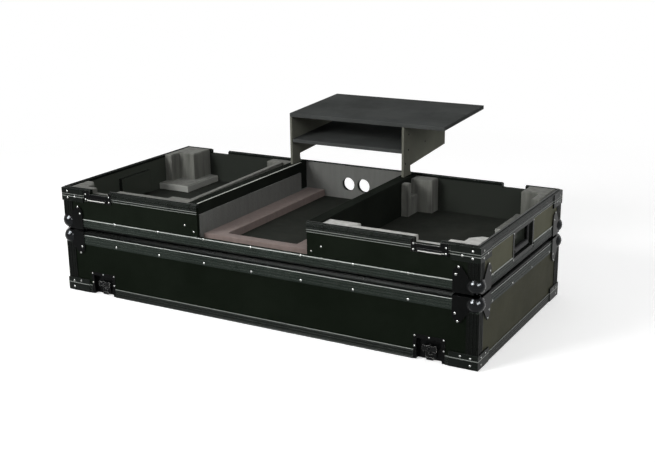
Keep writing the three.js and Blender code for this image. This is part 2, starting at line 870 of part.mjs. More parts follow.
// Pressed dish of a handle, bored in its side walls for the bail
function handleDish(end) {
  const outside = ribHeight + angleThickness - dishPlate;
  const back = outside + dishPlate + handleRecessDepth;
  const low = baseBottom + handleRecessBottom;
  const high = baseBottom + handleRecessTop;
  const flangeOutline = roundedRectangle(
    [-handleFlangeHalf, handleFlangeHalf],
    [baseBottom + handleFlangeBottom, baseBottom + handleFlangeTop],
    handleFlangeRadius,
  );
  const flange = wallPlate(end, flangeOutline, outside, outside + dishPlate);
  const pan = wallBlock(
    end,
    [-handleRecessHalf - dishPlate, handleRecessHalf + dishPlate],
    [outside, back],
    [low - dishPlate, high + dishPlate],
  );
  const hollow = wallBlock(
    end,
    [-handleRecessHalf, handleRecessHalf],
    [-cutOverrun, back - dishPlate],
    [low, high],
  );
  const { into } = walls[end];
  const pivotBore = prism(
    'y',
    circle(into(bailDepth), baseBottom + bailPivotHeight, bailRodRadius + pivotClearance, circleSides),
    -handleRecessHalf - cutOverrun,
    handleRecessHalf + cutOverrun,
  );
  return flange.add(pan).subtract(hollow).subtract(pivotBore);
}

// Bail of a handle: a bent rod with a moulded grip on its lower run
function handleBail(end) {
  const across = walls[end].into(bailDepth);
  const pivotEnd = handleRecessHalf + dishPlate;
  const pivotZ = baseBottom + bailPivotHeight;
  const gripZ = baseBottom + bailGripHeight;
  const path = [
    new THREE.Vector3(across, -pivotEnd, pivotZ),
    new THREE.Vector3(across, -bailHalf, pivotZ),
    new THREE.Vector3(across, -bailHalf, gripZ),
    new THREE.Vector3(across, bailHalf, gripZ),
    new THREE.Vector3(across, bailHalf, pivotZ),
    new THREE.Vector3(across, pivotEnd, pivotZ),
  ];
  const rod = bentRod(path, bailRodRadius, bailBend, rodSides);
  const grip = prism('y', circle(across, gripZ, gripRadius, gripSides), -gripHalf, gripHalf);
  return rod.add(grip);
}

function addHandles() {
  for (const end of ['left', 'right']) {
    addPiece(`handle_dish_${end}`, handleDish(end), material.hardware);
    addPiece(`handle_bail_${end}`, handleBail(end), material.grip);
  }
}

// Dividers between mixer bay and player bays, slotted at the rear for the shelf's legs
function addDividers() {
  const legBack = shelfFront + legDepth;
  for (const [name, sign] of [['left', -1], ['right', 1]]) {
    const wall = block(
      [sign * dividerInner, sign * (dividerInner + dividerThickness)],
      [-bayHalfDepth, bayHalfDepth],
      [wallBottom, rimZ + dividerRise],
    );
    const slot = block(
      [
        sign * (shelfPlateOuter - shelfPlateThickness - slotClearance),
        sign * (shelfPlateOuter + slotClearance),
      ],
      [shelfFront - slotClearance, legBack + slotClearance],
      [legBottom - slotFloorGap, rimZ + dividerRise + cutOverrun],
    );
    addPiece(`divider_${name}`, wall.subtract(slot), material.divider);
  }
}

// Foam liner of the mixer bay, high at the back and lower along both dividers, where it ends
// short of the rear down to the height of the riser
function addMixerFoam() {
  const outer = dividerInner - seatGap;
  const rearBack = bayHalfDepth;
  const rearFront = rearBack - linerThickness;
  const rear = block([-outer, outer], [rearFront, rearBack], [wallBottom, baseBottom + rearLinerTop]);
  const riserTop = wallBottom + riserHeight;
  const sideRuns = [
    [rearFront - sideLinerRearGap, baseBottom + sideLinerTop],
    [rearBack, riserTop],
  ];
  const sides = sideRuns.flatMap(([end, top]) => [-1, 1].map((sign) => block(
    [sign * outer, sign * (outer - linerThickness)],
    [-bayHalfDepth, end],
    [wallBottom, top],
  )));
  const holes = cableHoles(0, inner + linerThickness + cutOverrun);
  addPiece('mixer_bay_liner', joined([rear, ...sides]).subtract(joined(holes)), material.liner);

  const riserOuter = outer - linerThickness - seatGap;
  const frontEdge = -bayHalfDepth + riserFront;
  const arms = [-1, 1].map((sign) => block(
    [sign * riserInner, sign * riserOuter],
    [frontEdge, rearFront - seatGap],
    [wallBottom, riserTop],
  ));
  const bar = block([-riserOuter, riserOuter], [frontEdge, frontEdge + riserBar], [wallBottom, riserTop]);
  addPiece('mixer_foam_riser', joined([...arms, bar]), material.riser);
}

// Foam that holds a player: a stepped corner column on a plinth, a rear block at the
// divider and a front pad with a block at each of its ends, lowered behind the catch
function addPlayerFoam() {
  const dividerOuter = dividerInner + dividerThickness + seatGap;
  for (const [name, sign, thickX, thickY] of [
    ['left', -1, leftColumnX, leftColumnY],
    ['right', 1, rightColumnX, rightColumnY],
  ]) {
    const wallX = (inward) => sign * (bayHalfLength - inward);
    const column = joined([
      block(
        [wallX(0), wallX(plinthX)],
        [bayHalfDepth - plinthY, bayHalfDepth],
        [wallBottom, wallBottom + plinthHeight],
      ),
      block(
        [wallX(0), wallX(thickX)],
        [bayHalfDepth - thickY, bayHalfDepth],
        [wallBottom, baseBottom + columnTop],
      ),
      block(
        [wallX(0), wallX(columnThinX)],
        [bayHalfDepth - columnReach, bayHalfDepth],
        [wallBottom, baseBottom + columnTop],
      ),
    ]);
    addPiece(`foam_column_${name}`, column, material.foam);

    const cornerOutline = [
      [wallX(0), -bayHalfDepth],
      [wallX(cornerBlockX), -bayHalfDepth],
      [wallX(cornerBlockX), -bayHalfDepth + cornerBlockY - cornerBlockChamfer],
      [wallX(cornerBlockX - cornerBlockChamfer), -bayHalfDepth + cornerBlockY],
      [wallX(0), -bayHalfDepth + cornerBlockY],
    ];
    const front = joined([
      prism('z', cornerOutline, wallBottom, baseBottom + frontFoamTop),
      block(
        [wallX(0), sign * dividerOuter],
        [-bayHalfDepth, -bayHalfDepth + frontPadDepth],
        [wallBottom, baseBottom + frontFoamTop],
      ),
      block(
        [sign * dividerOuter, sign * (dividerOuter + frontBlockX)],
        [-bayHalfDepth, -bayHalfDepth + frontBlockY],
        [wallBottom, baseBottom + frontFoamTop],
      ),
    ]);
    const catchDip = block(
      [sign * (catchNotchFromCentre - frontDipHalf), sign * (catchNotchFromCentre + frontDipHalf)],
      [-bayHalfDepth - cutOverrun, -bayHalfDepth + frontPadDepth + cutOverrun],
      [baseBottom + frontDipTop, rimZ + cutOverrun],
    );
    addPiece(`foam_front_${name}`, front.subtract(catchDip), material.foam);
  }

  const leftBlock = block(
    [-dividerOuter, -dividerOuter - leftBlockX],
    [bayHalfDepth - leftBlockY, bayHalfDepth],
    [wallBottom, baseBottom + leftBlockTop],
  );
  addPiece('foam_rear_block_left', leftBlock, material.foam);

  const postFront = bayHalfDepth - rightPostReach;
  const rightBlock = joined([
    block(
      [dividerOuter, dividerOuter + rightBlockX],
      [bayHalfDepth - rightBlockY, bayHalfDepth],
      [wallBottom, baseBottom + rightBlockTop],
    ),
    block(
      [dividerOuter, dividerOuter + rightPostX],
      [postFront, postFront + rightPostY],
      [wallBottom, baseBottom + rightBlockTop],
    ),
    block(
      [dividerOuter, dividerOuter + rightPostX],
      [postFront, bayHalfDepth],
      [wallBottom, baseBottom + rightWebTop],
    ),
  ]);
  addPiece('foam_rear_block_right', rightBlock, material.foam);

  const boardFront = -bayHalfDepth + frontBlockY + seatGap;
  const boardRear = bayHalfDepth - leftBlockY - seatGap;
  const spacer = prism(
    'z',
    [
      [-boardFrontX, boardFront],
      [-boardFrontX - boardThickness, boardFront],
      [-boardRearX - boardThickness, boardRear],
      [-boardRearX, boardRear],
    ],
    wallBottom,
    baseBottom + boardTop,
  );
  addPiece('bay_spacer_board', spacer, material.foam);
}

// Laptop shelf: two side plates with legs, a sloping top that overhangs to the right
// and a lower board that makes a storage box under it
function addShelf() {
  const slope = Math.tan(THREE.MathUtils.degToRad(shelfTiltDegrees));
  const rise = (y) => (y - shelfFront) * slope;
  const boardUnder = shelfBoardHeight - shelfBoardThickness;
  const top = prism(
    'x',
    [
      [shelfFront, boardUnder],
      [shelfRear, boardUnder + rise(shelfRear)],
      [shelfRear, shelfBoardHeight + rise(shelfRear)],
      [shelfFront, shelfBoardHeight],
    ],
    -shelfPlateOuter,
    shelfBoardRight,
  );
  addPiece('shelf_top_board', top, material.shelf);

  const lowerFront = shelfFront + lowerBoardSetback;
  const plateInner = shelfPlateOuter - shelfPlateThickness - seatGap;
  const lowerUnder = lowerBoardHeight - lowerBoardThickness;
  const lower = prism(
    'x',
    [
      [lowerFront, lowerUnder],
      [shelfRear, lowerUnder + rise(shelfRear)],
      [shelfRear, lowerBoardHeight + rise(shelfRear)],
      [lowerFront, lowerBoardHeight],
    ],
    -plateInner,
    plateInner,
  );
  addPiece('shelf_lower_board', lower, material.shelf);

  const neckY = shelfFront + neckDepth;
  const legY = shelfFront + legDepth;
  const legShoulder = rimZ - legShoulderDrop;
  const neckBottom = rimZ + neckRise;
  const neckCurve = new THREE.QuadraticBezierCurve(
    new THREE.Vector2(legY, legShoulder),
    new THREE.Vector2(neckY, (legShoulder + neckBottom) / 2),
    new THREE.Vector2(neckY, neckBottom),
  );
  const outline = [
    [shelfFront, legBottom],
    [legY, legBottom],
    ...neckCurve.getPoints(neckSteps).map((point) => [point.x, point.y]),
    [neckY, plateBottomFront],
    [shelfRear, rimZ + plateRearRise],
    [shelfRear, boardUnder + rise(shelfRear) - seatGap],
    [shelfFront, boardUnder - seatGap],
  ];
  for (const [name, sign] of [['left', -1], ['right', 1]]) {
    const plate = prism(
      'x',
      outline,
      sign * (shelfPlateOuter - shelfPlateThickness),
      sign * shelfPlateOuter,
    );
    addPiece(`shelf_side_plate_${name}`, plate, material.shelfPlate);
  }
}

addLidPanels();
addLidExtrusions();
addLatches();
addBasePanels();
addBaseExtrusions();
addCatches();
addBallCorners();
addHandles();
addDividers();
addMixerFoam();
addPlayerFoam();
addShelf();

// The origin is under the middle of the whole object, the shelf's rear overhang included.
flightCase.position.y = -(shelfRear - halfDepth - ballSideProud) / 2;

export default flightCase;
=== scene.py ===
"""Looks of a coffin-style flight case: an open base tray standing on its own lid,
with foam-lined player bays, a mixer bay and a plug-in laptop shelf."""

import json
import logging
import math
from dataclasses import dataclass, field, replace
from enum import Enum
from functools import cached_property
from typing import ClassVar, Iterable, Sequence

import bpy
import numpy as np
from mathutils import Matrix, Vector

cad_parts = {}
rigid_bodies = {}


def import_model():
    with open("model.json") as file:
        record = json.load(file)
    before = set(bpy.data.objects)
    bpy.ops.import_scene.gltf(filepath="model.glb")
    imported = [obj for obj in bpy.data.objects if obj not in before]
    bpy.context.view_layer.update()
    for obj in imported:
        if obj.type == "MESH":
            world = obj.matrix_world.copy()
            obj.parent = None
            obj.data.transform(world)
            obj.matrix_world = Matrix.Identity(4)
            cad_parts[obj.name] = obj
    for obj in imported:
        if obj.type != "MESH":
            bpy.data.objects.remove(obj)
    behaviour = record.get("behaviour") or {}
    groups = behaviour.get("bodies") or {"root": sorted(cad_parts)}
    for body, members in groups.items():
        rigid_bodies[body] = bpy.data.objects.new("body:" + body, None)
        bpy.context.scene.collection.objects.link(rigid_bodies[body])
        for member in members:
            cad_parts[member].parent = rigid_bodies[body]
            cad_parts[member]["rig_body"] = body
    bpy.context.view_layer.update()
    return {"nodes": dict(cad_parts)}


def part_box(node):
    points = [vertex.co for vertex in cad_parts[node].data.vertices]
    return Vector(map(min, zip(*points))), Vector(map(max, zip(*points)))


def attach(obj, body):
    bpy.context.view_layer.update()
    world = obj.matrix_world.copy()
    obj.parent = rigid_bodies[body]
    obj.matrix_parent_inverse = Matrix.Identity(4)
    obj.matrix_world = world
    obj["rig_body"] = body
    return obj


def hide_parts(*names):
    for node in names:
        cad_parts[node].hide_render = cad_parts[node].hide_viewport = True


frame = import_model()
log = logging.getLogger("coffin_case")

Object = bpy.types.Object
Socket = bpy.types.NodeSocket
Feed = Socket | float | Sequence[float]
Tone = tuple[int, int, int]
Pair = tuple[float, float]
Pairs = tuple[Pair, ...]

MM = 0.001
# Names of the sides and corners in plan, with the signs of x and y there.
SIDES = {"left": -1, "right": 1}
CORNERS = {"front_left": (-1, -1), "front_right": (1, -1), "rear_left": (-1, 1), "rear_right": (1, 1)}

# Softened edges: corners nearer than the first are merged, edges sharper than the second rounded.
WELD_REACH = 0.02 * MM
SHARP_ANGLE = math.radians(40)

# Noise values between which the second tone, the rougher skin and the edge tone come in; that tone is
# scuffing, and on latches and catch plates a painted glint.
MOTTLE_RANGE = (0.34, 0.68)
ROUGH_RANGE = (0.3, 0.7)
EDGE_BREAK_RANGE = (0.35, 0.6)
# Cosine of the turn of a rounded normal where the edge tone starts, and where it is full.
EDGE_TURN = (0.995, 0.9)
# Features in a metre along each axis: upright streaks of cut foam, level lines of drawn metal.
FOAM_STREAKS = (70.0, 70.0, 7.0)
DRAWN_LINES = (6.0, 6.0, 900.0)

# Painted shade: a dark tone and its share laid on the upright corner angles beyond each edge angle's ring,
# and the tone of the bands painted in shade.
POST_SHADE_TONE = (8, 9, 8)
POST_SHADE_SHARE = 0.9
SHADE_TONE = (10, 13, 11)
BALL_TONE = (31, 32, 33)
BALL_RADIUS = 20 * MM
# How far outside the ball, and behind the tray's inner faces, a mask is full, and where it ends.
BALL_FADE = (0.2 * MM, 0.6 * MM)
LINING_FADE = (0.3 * MM, 0.5 * MM)

# A mix node has three pairs of inputs with the same names; these numbers are the colours.
COLOUR_INPUTS = (6, 7)
COLOUR_OUTPUT = 2


def foot(node: str) -> float:
    """Give the lowest height of a CAD node."""
    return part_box(node)[0].z


def top(node: str) -> float:
    """Give the greatest height of a CAD node."""
    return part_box(node)[1].z


def case_middle() -> np.ndarray:
    """Give the place in plan of the middle of the case itself, on the floor."""
    low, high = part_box("lid_top_panel")
    return np.array([(low.x + high.x) / 2, (low.y + high.y) / 2, 0.0])


MIDDLE = case_middle()


def bands(start: float, *spans: Pair) -> Pairs:
    """Turn spans in millimetres above a height into heights in metres."""
    return tuple((start + low * MM, start + high * MM) for low, high in spans)


def linear(tone: Tone) -> tuple[float, ...]:
    """Turn a display colour from 0 to 255 into the linear one that shaders take, with its alpha."""
    shown = np.array(tone, float) / 255.0
    light = np.where(shown <= 0.04045, shown / 12.92, ((shown + 0.055) / 1.055) ** 2.4)
    return (*light.tolist(), 1.0)


class Surface(Enum):
    """How the fine relief of a finish is made."""

    LAMINATE = "laminate"
    EXTRUDED = "extruded"
    PLATED = "plated"
    MOULDED = "moulded"
    FOAM = "foam"
    POLISHED = "polished"


@dataclass(frozen=True)
class Finish:
    """One surface finish and the node material that shows it.

    Colours are as seen on a display. Heights and places are those at rest, which every
    piece keeps in its mesh.

    Attributes:
        second: Colour that the first is mottled with.
        spread: How far the roughness varies up and down.
        scuff_and_glint_tone: Colour of sharp edges, with wear as its share on the sharpest: scuffing on most
            finishes, a painted glint on the extrusions' ribs, the latches and the catch plates.
        post_shade_heights: Heights between which a painted shade comes in, darkening the upright corner
            angles beyond an edge angle's ring.
        lining: Colour of the tray's inner faces.
        lines: Bands of height drawn in the line tone: painted highlights such as a lit bead, and on a handle
            dish the lining's tone.
        line_reach: Distances from the middle of the length between which they are drawn.
        shades: Bands of height painted in shade.
        ball_height: Height of the centre of a ball corner's polished ball.
        edge_radius: Radius over which sharp edges are looked for.
    """

    name: str
    colour: Tone
    second: Tone
    surface: Surface
    roughness: float
    metallic: float = 0.0
    spread: float = 0.06
    scuff_and_glint_tone: Tone | None = None
    scuff_and_glint_share: float = 0.0
    sheen: float = 0.0
    specular: float = 0.5
    post_shade_heights: Pair | None = None
    lining: Tone | None = None
    lines: Pairs = ()
    line_tone: Tone = (176, 180, 176)
    line_reach: Pair = (0.0, 1.0)
    shades: Pairs = ()
    ball_height: float | None = None
    edge_radius: float = 0.6 * MM
    made: ClassVar[dict[str, bpy.types.Material]] = {}

    def build(self) -> bpy.types.Material:
        """Give the node material, made once for each name."""
        if self.name not in self.made:
            material = bpy.data.materials.new(self.name)
            material.use_nodes = True
            self.made[self.name] = material
            self.fill(NodeSheet(material.node_tree))
        return self.made[self.name]

    def fill(self, sheet: "NodeSheet") -> None:
        """Fill a node tree with mottled colour, varied roughness, relief and edge wear."""
        shader = sheet.tree.nodes["Principled BSDF"]
        shader.inputs["Metallic"].default_value = self.metallic
        shader.inputs["Sheen Weight"].default_value = self.sheen
        shader.inputs["Specular IOR Level"].default_value = self.specular

        if self.surface is Surface.FOAM:
            mottle = sheet.stretched(FOAM_STREAKS)
        else:
            mottle = sheet.noise(scale=9.0, detail=5.0, roughness=0.6)
        colour = sheet.mix(sheet.span(mottle, *MOTTLE_RANGE), self.colour, self.second)
        if self.scuff_and_glint_tone is not None:
            colour = sheet.mix(self.edges(sheet), colour, self.scuff_and_glint_tone)
        colour = self.banded(sheet, colour)
        if self.lining is not None:
            colour = sheet.mix(self.inside(sheet), colour, self.lining)
        if self.ball_height is not None:
            ball = self.on_ball(sheet)
            colour = sheet.mix(ball, colour, BALL_TONE)
            sheet.link(sheet.span(ball, 0.0, 1.0, self.metallic, 1.0), shader.inputs["Metallic"])
        sheet.link(colour, shader.inputs["Base Color"])

        rough = sheet.noise(scale=34.0, detail=6.0, roughness=0.7)
        low, high = self.roughness - self.spread, self.roughness + self.spread
        sheet.link(sheet.span(rough, *ROUGH_RANGE, low, high), shader.inputs["Roughness"])
        sheet.link(self.relief(sheet), shader.inputs["Normal"])

    def banded(self, sheet: "NodeSheet", colour: Socket) -> Socket:
        """Lay over a colour, by height, the painted shade of the upright corner angles, the bands painted in
        shade and the line bands: painted highlights, and on a handle dish the lining's tone.
        """
        if not (self.post_shade_heights or self.shades or self.lines):
            return colour
        x, _, z = sheet.split(sheet.place)
        if self.post_shade_heights is not None:
            colour = sheet.mix(sheet.span(z, *self.post_shade_heights, 0.0, POST_SHADE_SHARE), colour, POST_SHADE_TONE)
        for shade in self.shades:
            colour = sheet.mix(sheet.level(z, *shade), colour, SHADE_TONE)
        for line in self.lines:
            across = sheet.level(sheet.maths("ABSOLUTE", x), *self.line_reach)
            colour = sheet.mix(sheet.maths("MULTIPLY", sheet.level(z, *line), across), colour, self.line_tone)
        return colour

    def inside(self, sheet: "NodeSheet") -> Socket:
        """Give one on the tray's inner faces, and zero elsewhere.

        Those faces lie within half the length and depth between the tray's walls.
        """
        half_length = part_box("base_right_panel")[0].x
        half_depth = (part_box("base_rear_panel")[0].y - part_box("base_front_panel")[1].y) / 2
        x, y, _ = sheet.split(sheet.from_middle())
        within = [
            sheet.span(value, *(half + fade for fade in LINING_FADE), 1.0, 0.0)
            for value, half in ((x, half_length), (y, half_depth))
        ]
        return sheet.maths("MULTIPLY", *within)

    def on_ball(self, sheet: "NodeSheet") -> Socket:
        """Give one on the polished ball of each corner piece, and zero elsewhere.

        The ball touches the outermost faces of its piece, so its centre lies one radius
        inside them.
        """
        plan = np.array(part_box("lid_ball_corner_rear_right")[1].xy) - MIDDLE[:2] - BALL_RADIUS
        away = sheet.vectors("DISTANCE", sheet.from_middle(), (*plan.tolist(), self.ball_height))
        return sheet.span(away.outputs["Value"], *(BALL_RADIUS + fade for fade in BALL_FADE), 1.0, 0.0)

    def edges(self, sheet: "NodeSheet") -> Socket:
        """Give the share of the edge tone: scuffing on most finishes, a painted glint on the extrusions,
        latches and catch plates.

        It rises to the finish's wear where a normal rounded over a small radius leaves the
        face's own. Noise breaks it up, except on drawn ribs.
        """
        rounded = sheet.node("ShaderNodeBevel", Radius=self.edge_radius)
        rounded.samples = 4
        flat = sheet.node("ShaderNodeNewGeometry").outputs["True Normal"]
        turned = sheet.vectors("DOT_PRODUCT", rounded.outputs["Normal"], flat).outputs["Value"]
        edge = sheet.span(turned, *EDGE_TURN, 0.0, self.scuff_and_glint_share)
        if self.surface is Surface.EXTRUDED:
            return edge
        broken = sheet.noise(scale=60.0, detail=4.0, roughness=0.6)
        return sheet.maths("MULTIPLY", edge, sheet.span(broken, *EDGE_BREAK_RANGE))

    def relief(self, sheet: "NodeSheet") -> Socket:
        """Give the bumped normal: pebbles, drawn lines, cells or a fine grain by kind of surface."""
        if self.surface is Surface.LAMINATE:
            return sheet.bump(sheet.cells(scale=420.0), strength=0.22, distance=0.4 * MM)
        if self.surface is Surface.EXTRUDED:
            return sheet.bump(sheet.stretched(DRAWN_LINES), strength=0.04, distance=0.2 * MM)
        if self.surface is Surface.FOAM:
            lumpy = sheet.noise(scale=70.0, detail=6.0, roughness=0.7)
            both = sheet.maths("ADD", sheet.cells(scale=330.0), lumpy)
            return sheet.bump(both, strength=0.55, distance=1.2 * MM)
        if self.surface is Surface.MOULDED:
            grain = sheet.noise(scale=520.0, detail=3.0, roughness=0.6)
            return sheet.bump(grain, strength=0.3, distance=0.4 * MM)
        scale = 260.0 if self.surface is Surface.PLATED else 120.0
        skin = sheet.noise(scale=scale, detail=3.0, roughness=0.5)
        return sheet.bump(skin, strength=0.06, distance=0.2 * MM)


@dataclass
class NodeSheet:
    """Short ways to fill a node tree."""

    tree: bpy.types.NodeTree

    @cached_property
    def place(self) -> Socket:
        """Object coordinates."""
        return self.node("ShaderNodeTexCoord").outputs["Object"]

    def link(self, source: Socket, target: Socket) -> None:
        """Join an output to an input."""
        self.tree.links.new(source, target)

    def feed(self, sources: Iterable[Feed], targets: Iterable[Socket]) -> None:
        """Join each source to an input, or set it there where it is a constant."""
        for source, target in zip(sources, targets):
            if isinstance(source, Socket):
                self.link(source, target)
            else:
                target.default_value = source

    def node(self, kind: str, *ordered: Feed, **named: Feed) -> bpy.types.Node:
        """Add one node of a kind, with its inputs fed in order or by name."""
        node = self.tree.nodes.new(kind)
        self.feed(ordered, node.inputs)
        self.feed(named.values(), [node.inputs[name] for name in named])
        return node

    def maths(self, operation: str, *values: Feed) -> Socket:
        """Do one operation on numbers, and give its result."""
        node = self.node("ShaderNodeMath")
        node.operation = operation
        self.feed(values, node.inputs)
        return node.outputs["Value"]

    def vectors(self, operation: str, *values: Feed) -> bpy.types.Node:
        """Do one operation on vectors, and give its node."""
        node = self.node("ShaderNodeVectorMath")
        node.operation = operation
        self.feed(values, node.inputs)
        return node

    def split(self, place: Socket) -> list[Socket]:
        """Give the three parts of a place."""
        return list(self.node("ShaderNodeSeparateXYZ", place).outputs)

    def from_middle(self) -> Socket:
        """Give the place taken from the case's middle, without sign."""
        centred = self.vectors("SUBTRACT", self.place, tuple(MIDDLE.tolist()))
        return self.vectors("ABSOLUTE", centred.outputs[0]).outputs[0]

    def noise(self, scale: float, detail: float, roughness: float, place: Socket | None = None) -> Socket:
        """Give fractal noise with scale features in a metre, at Object coordinates or another place."""
        at = self.place if place is None else place
        return self.node(
            "ShaderNodeTexNoise", Vector=at, Scale=scale, Detail=detail, Roughness=roughness
        ).outputs["Fac"]

    def stretched(self, scale: Sequence[float]) -> Socket:
        """Give noise with its own number of features in a metre along each axis."""
        drawn = self.node("ShaderNodeMapping", Vector=self.place, Scale=scale).outputs["Vector"]
        return self.noise(scale=1.0, detail=3.0, roughness=0.6, place=drawn)

    def cells(self, scale: float) -> Socket:
        """Give the distance to the centre of the nearest rounded cell, with scale cells in a metre."""
        node = self.node("ShaderNodeTexVoronoi", Vector=self.place, Scale=scale)
        node.feature = "SMOOTH_F1"
        return node.outputs["Distance"]

    def span(
        self, value: Socket, low: float, high: float, out_low: float = 0.0, out_high: float = 1.0
    ) -> Socket:
        """Map a range to another, clamped: low gives out_low, and high gives out_high."""
        ends = {"From Min": low, "From Max": high, "To Min": out_low, "To Max": out_high}
        return self.node("ShaderNodeMapRange", Value=value, **ends).outputs["Result"]

    def level(self, value: Socket, low: float, high: float) -> Socket:
        """Give one where a value lies between two others, and zero elsewhere."""
        return self.maths("COMPARE", value, (low + high) / 2, (high - low) / 2)

    def mix(self, factor: Socket, first: Socket | Tone, second: Socket | Tone) -> Socket:
        """Blend two sockets or display colours; factor 0 gives the first and 1 the second."""
        node = self.node("ShaderNodeMix")
        node.data_type = "RGBA"
        self.link(factor, node.inputs["Factor"])
        colours = [tone if isinstance(tone, Socket) else linear(tone) for tone in (first, second)]
        self.feed(colours, [node.inputs[number] for number in COLOUR_INPUTS])
        return node.outputs[COLOUR_OUTPUT]

    def bump(self, height: Socket, strength: float, distance: float) -> Socket:
        """Turn a height into a normal, with a share of the effect and a relief in metres."""
        return self.node(
            "ShaderNodeBump", Strength=strength, Distance=distance, Height=height
        ).outputs["Normal"]

    def emission(self, strength: Socket) -> Socket:
        """Give a white glow of some strength."""
        return self.node("ShaderNodeEmission", Strength=strength).outputs[0]

    def seen(self) -> Socket:
        """Give one for rays that the camera sends, straight or by a mirror or glass, and else zero."""
        path = self.node("ShaderNodeLightPath").outputs
        seen = self.maths("MAXIMUM", path["Is Camera Ray"], path["Is Transmission Ray"])
        return self.maths("MAXIMUM", seen, path["Is Glossy Ray"])


LAMINATE = Finish(
    "black_laminate", (13, 18, 12), (18, 23, 17), Surface.LAMINATE, 0.42,
    scuff_and_glint_tone=(58, 60, 55), scuff_and_glint_share=0.3, specular=0.0075,
)
TRAY_LAMINATE = replace(
    LAMINATE, name="tray_laminate", colour=(16, 21, 15), second=(22, 27, 21), lining=(46, 49, 45)
)
# The end panels are the same black laminate painted a paler olive: a painted sheen in place of the reflection
# on their faces.
END_SHEEN_LAMINATE = replace(LAMINATE, name="end_sheen_laminate", colour=(68, 68, 57), second=(76, 76, 63))
TRAY_END_SHEEN_LAMINATE = replace(
    LAMINATE, name="tray_end_sheen_laminate", colour=(95, 95, 80), second=(103, 103, 87), lining=(62, 66, 60)
)
FLOOR_LAMINATE = Finish(
    "bay_floor_laminate", (34, 36, 33), (44, 46, 42), Surface.LAMINATE, 0.6, specular=0.015
)
# By height, each ring gets a painted highlight on its bead, painted shade at its outer edge and a painted
# dark tone on the upright corner angles beyond; its sharp rib edges get a painted glint.
LID_TOP = top("lid_edge_frame")
BASE_FOOT = foot("base_edge_frame")
LID_EXTRUSION = Finish(
    "lid_extrusion", (31, 37, 33), (39, 45, 41), Surface.EXTRUDED, 0.3, metallic=0.12,
    scuff_and_glint_tone=(112, 118, 112), scuff_and_glint_share=0.5, specular=0.035, edge_radius=0.4 * MM,
    post_shade_heights=(LID_TOP - 31.5 * MM, LID_TOP - 32.5 * MM),
    lines=bands(LID_TOP, (-8.6, -6.8)), shades=bands(LID_TOP, (-6.8, 0.2)),
)
BASE_EXTRUSION = replace(
    LID_EXTRUSION, name="base_extrusion", post_shade_heights=(BASE_FOOT + 23.5 * MM, BASE_FOOT + 24.5 * MM),
    lines=bands(BASE_FOOT, (22.2, 24.2)), shades=bands(BASE_FOOT, (-1.0, 4.5)),
)
# The rim's two bands and its sharp rib edges are painted highlights, and so is the lid rim's band near its
# top.
RIM = Finish(
    "base_rim_extrusion", (16, 20, 17), (23, 27, 24), Surface.EXTRUDED, 0.3, metallic=0.1,
    scuff_and_glint_tone=(104, 108, 104), scuff_and_glint_share=0.45, specular=0.045, edge_radius=0.4 * MM,
    lines=bands(top("base_rim"), (-24.4, -22.6), (-18.5, -17.3)), line_tone=(128, 132, 128),
)
LID_RIM = replace(RIM, name="lid_rim_extrusion", lines=bands(top("lid_rim_front"), (-1.4, 0.4)))
BLACK_STEEL = Finish(
    "black_steel", (9, 10, 10), (15, 16, 16), Surface.PLATED, 0.2, metallic=0.1, spread=0.04,
    scuff_and_glint_tone=(90, 90, 88), scuff_and_glint_share=0.4, specular=0.035,
)
# The band of a handle dish is its pan's floor in the lining's tone. A catch plate's is a painted glint along
# its folded bar, and its sharp edges get a painted glint too.
DISH_LOW, DISH_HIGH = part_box("handle_dish_right")
DISH_STEEL = replace(
    BLACK_STEEL, name="dish_steel", colour=(32, 34, 32), second=(40, 42, 40), line_tone=(62, 66, 60),
    lines=((DISH_LOW.z + 5 * MM, DISH_HIGH.z + 8 * MM),),
    line_reach=(DISH_LOW.x - 7.6 * MM, DISH_LOW.x + 1.8 * MM),
)
CATCH_LOW, CATCH_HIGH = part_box("catch_plate_front_right")
CATCH_STEEL = replace(
    BLACK_STEEL, name="catch_plate_steel", scuff_and_glint_tone=(150, 150, 147), scuff_and_glint_share=0.8, line_tone=(214, 214, 210),
    lines=bands(CATCH_LOW.z, (3.5, 5.5)), line_reach=(CATCH_LOW.x + 17.3 * MM, CATCH_HIGH.x - 9.8 * MM),
)
LID_BALL_STEEL = replace(
    BLACK_STEEL, name="lid_ball_corner_steel", colour=(7, 8, 8), second=(12, 13, 13), roughness=0.13,
    ball_height=top("lid_ball_corner_rear_right") - BALL_RADIUS,
)
BASE_BALL_STEEL = replace(
    LID_BALL_STEEL, name="base_ball_corner_steel",
    ball_height=foot("base_ball_corner_rear_right") + BALL_RADIUS,
)
# Its sharp edges get a painted glint in a pale tone.
LATCH_STEEL = Finish(
    "latch_plating", (14, 15, 15), (22, 23, 23), Surface.PLATED, 0.22, metallic=0.15, spread=0.05,
    scuff_and_glint_tone=(210, 210, 207), scuff_and_glint_share=1.0, specular=0.08, edge_radius=0.8 * MM,
)
RIVET = Finish(
    "plated_rivet", (104, 106, 104), (130, 132, 129), Surface.POLISHED, 0.28, metallic=1.0, spread=0.05
)
GRIP = Finish("moulded_grip", (12, 12, 13), (18, 18, 19), Surface.MOULDED, 0.55, specular=0.2)
DIVIDER = Finish(
    "divider_board", (27, 30, 27), (35, 38, 34), Surface.LAMINATE, 0.5,
    scuff_and_glint_tone=(60, 62, 58), scuff_and_glint_share=0.3, specular=0.0,
)
DIVIDER_EDGE = Finish(
    "divider_edge", (186, 188, 182), (204, 206, 199), Surface.FOAM, 0.85, specular=0.05
)
FOAM = Finish("grey_foam", (91, 92, 87), (114, 115, 109), Surface.FOAM, 0.95, sheen=0.1, specular=0.05)
LINER = replace(FOAM, name="liner_foam", colour=(99, 100, 97), second=(106, 107, 104))
RISER = replace(FOAM, name="riser_foam", colour=(121, 108, 103), second=(129, 115, 110))
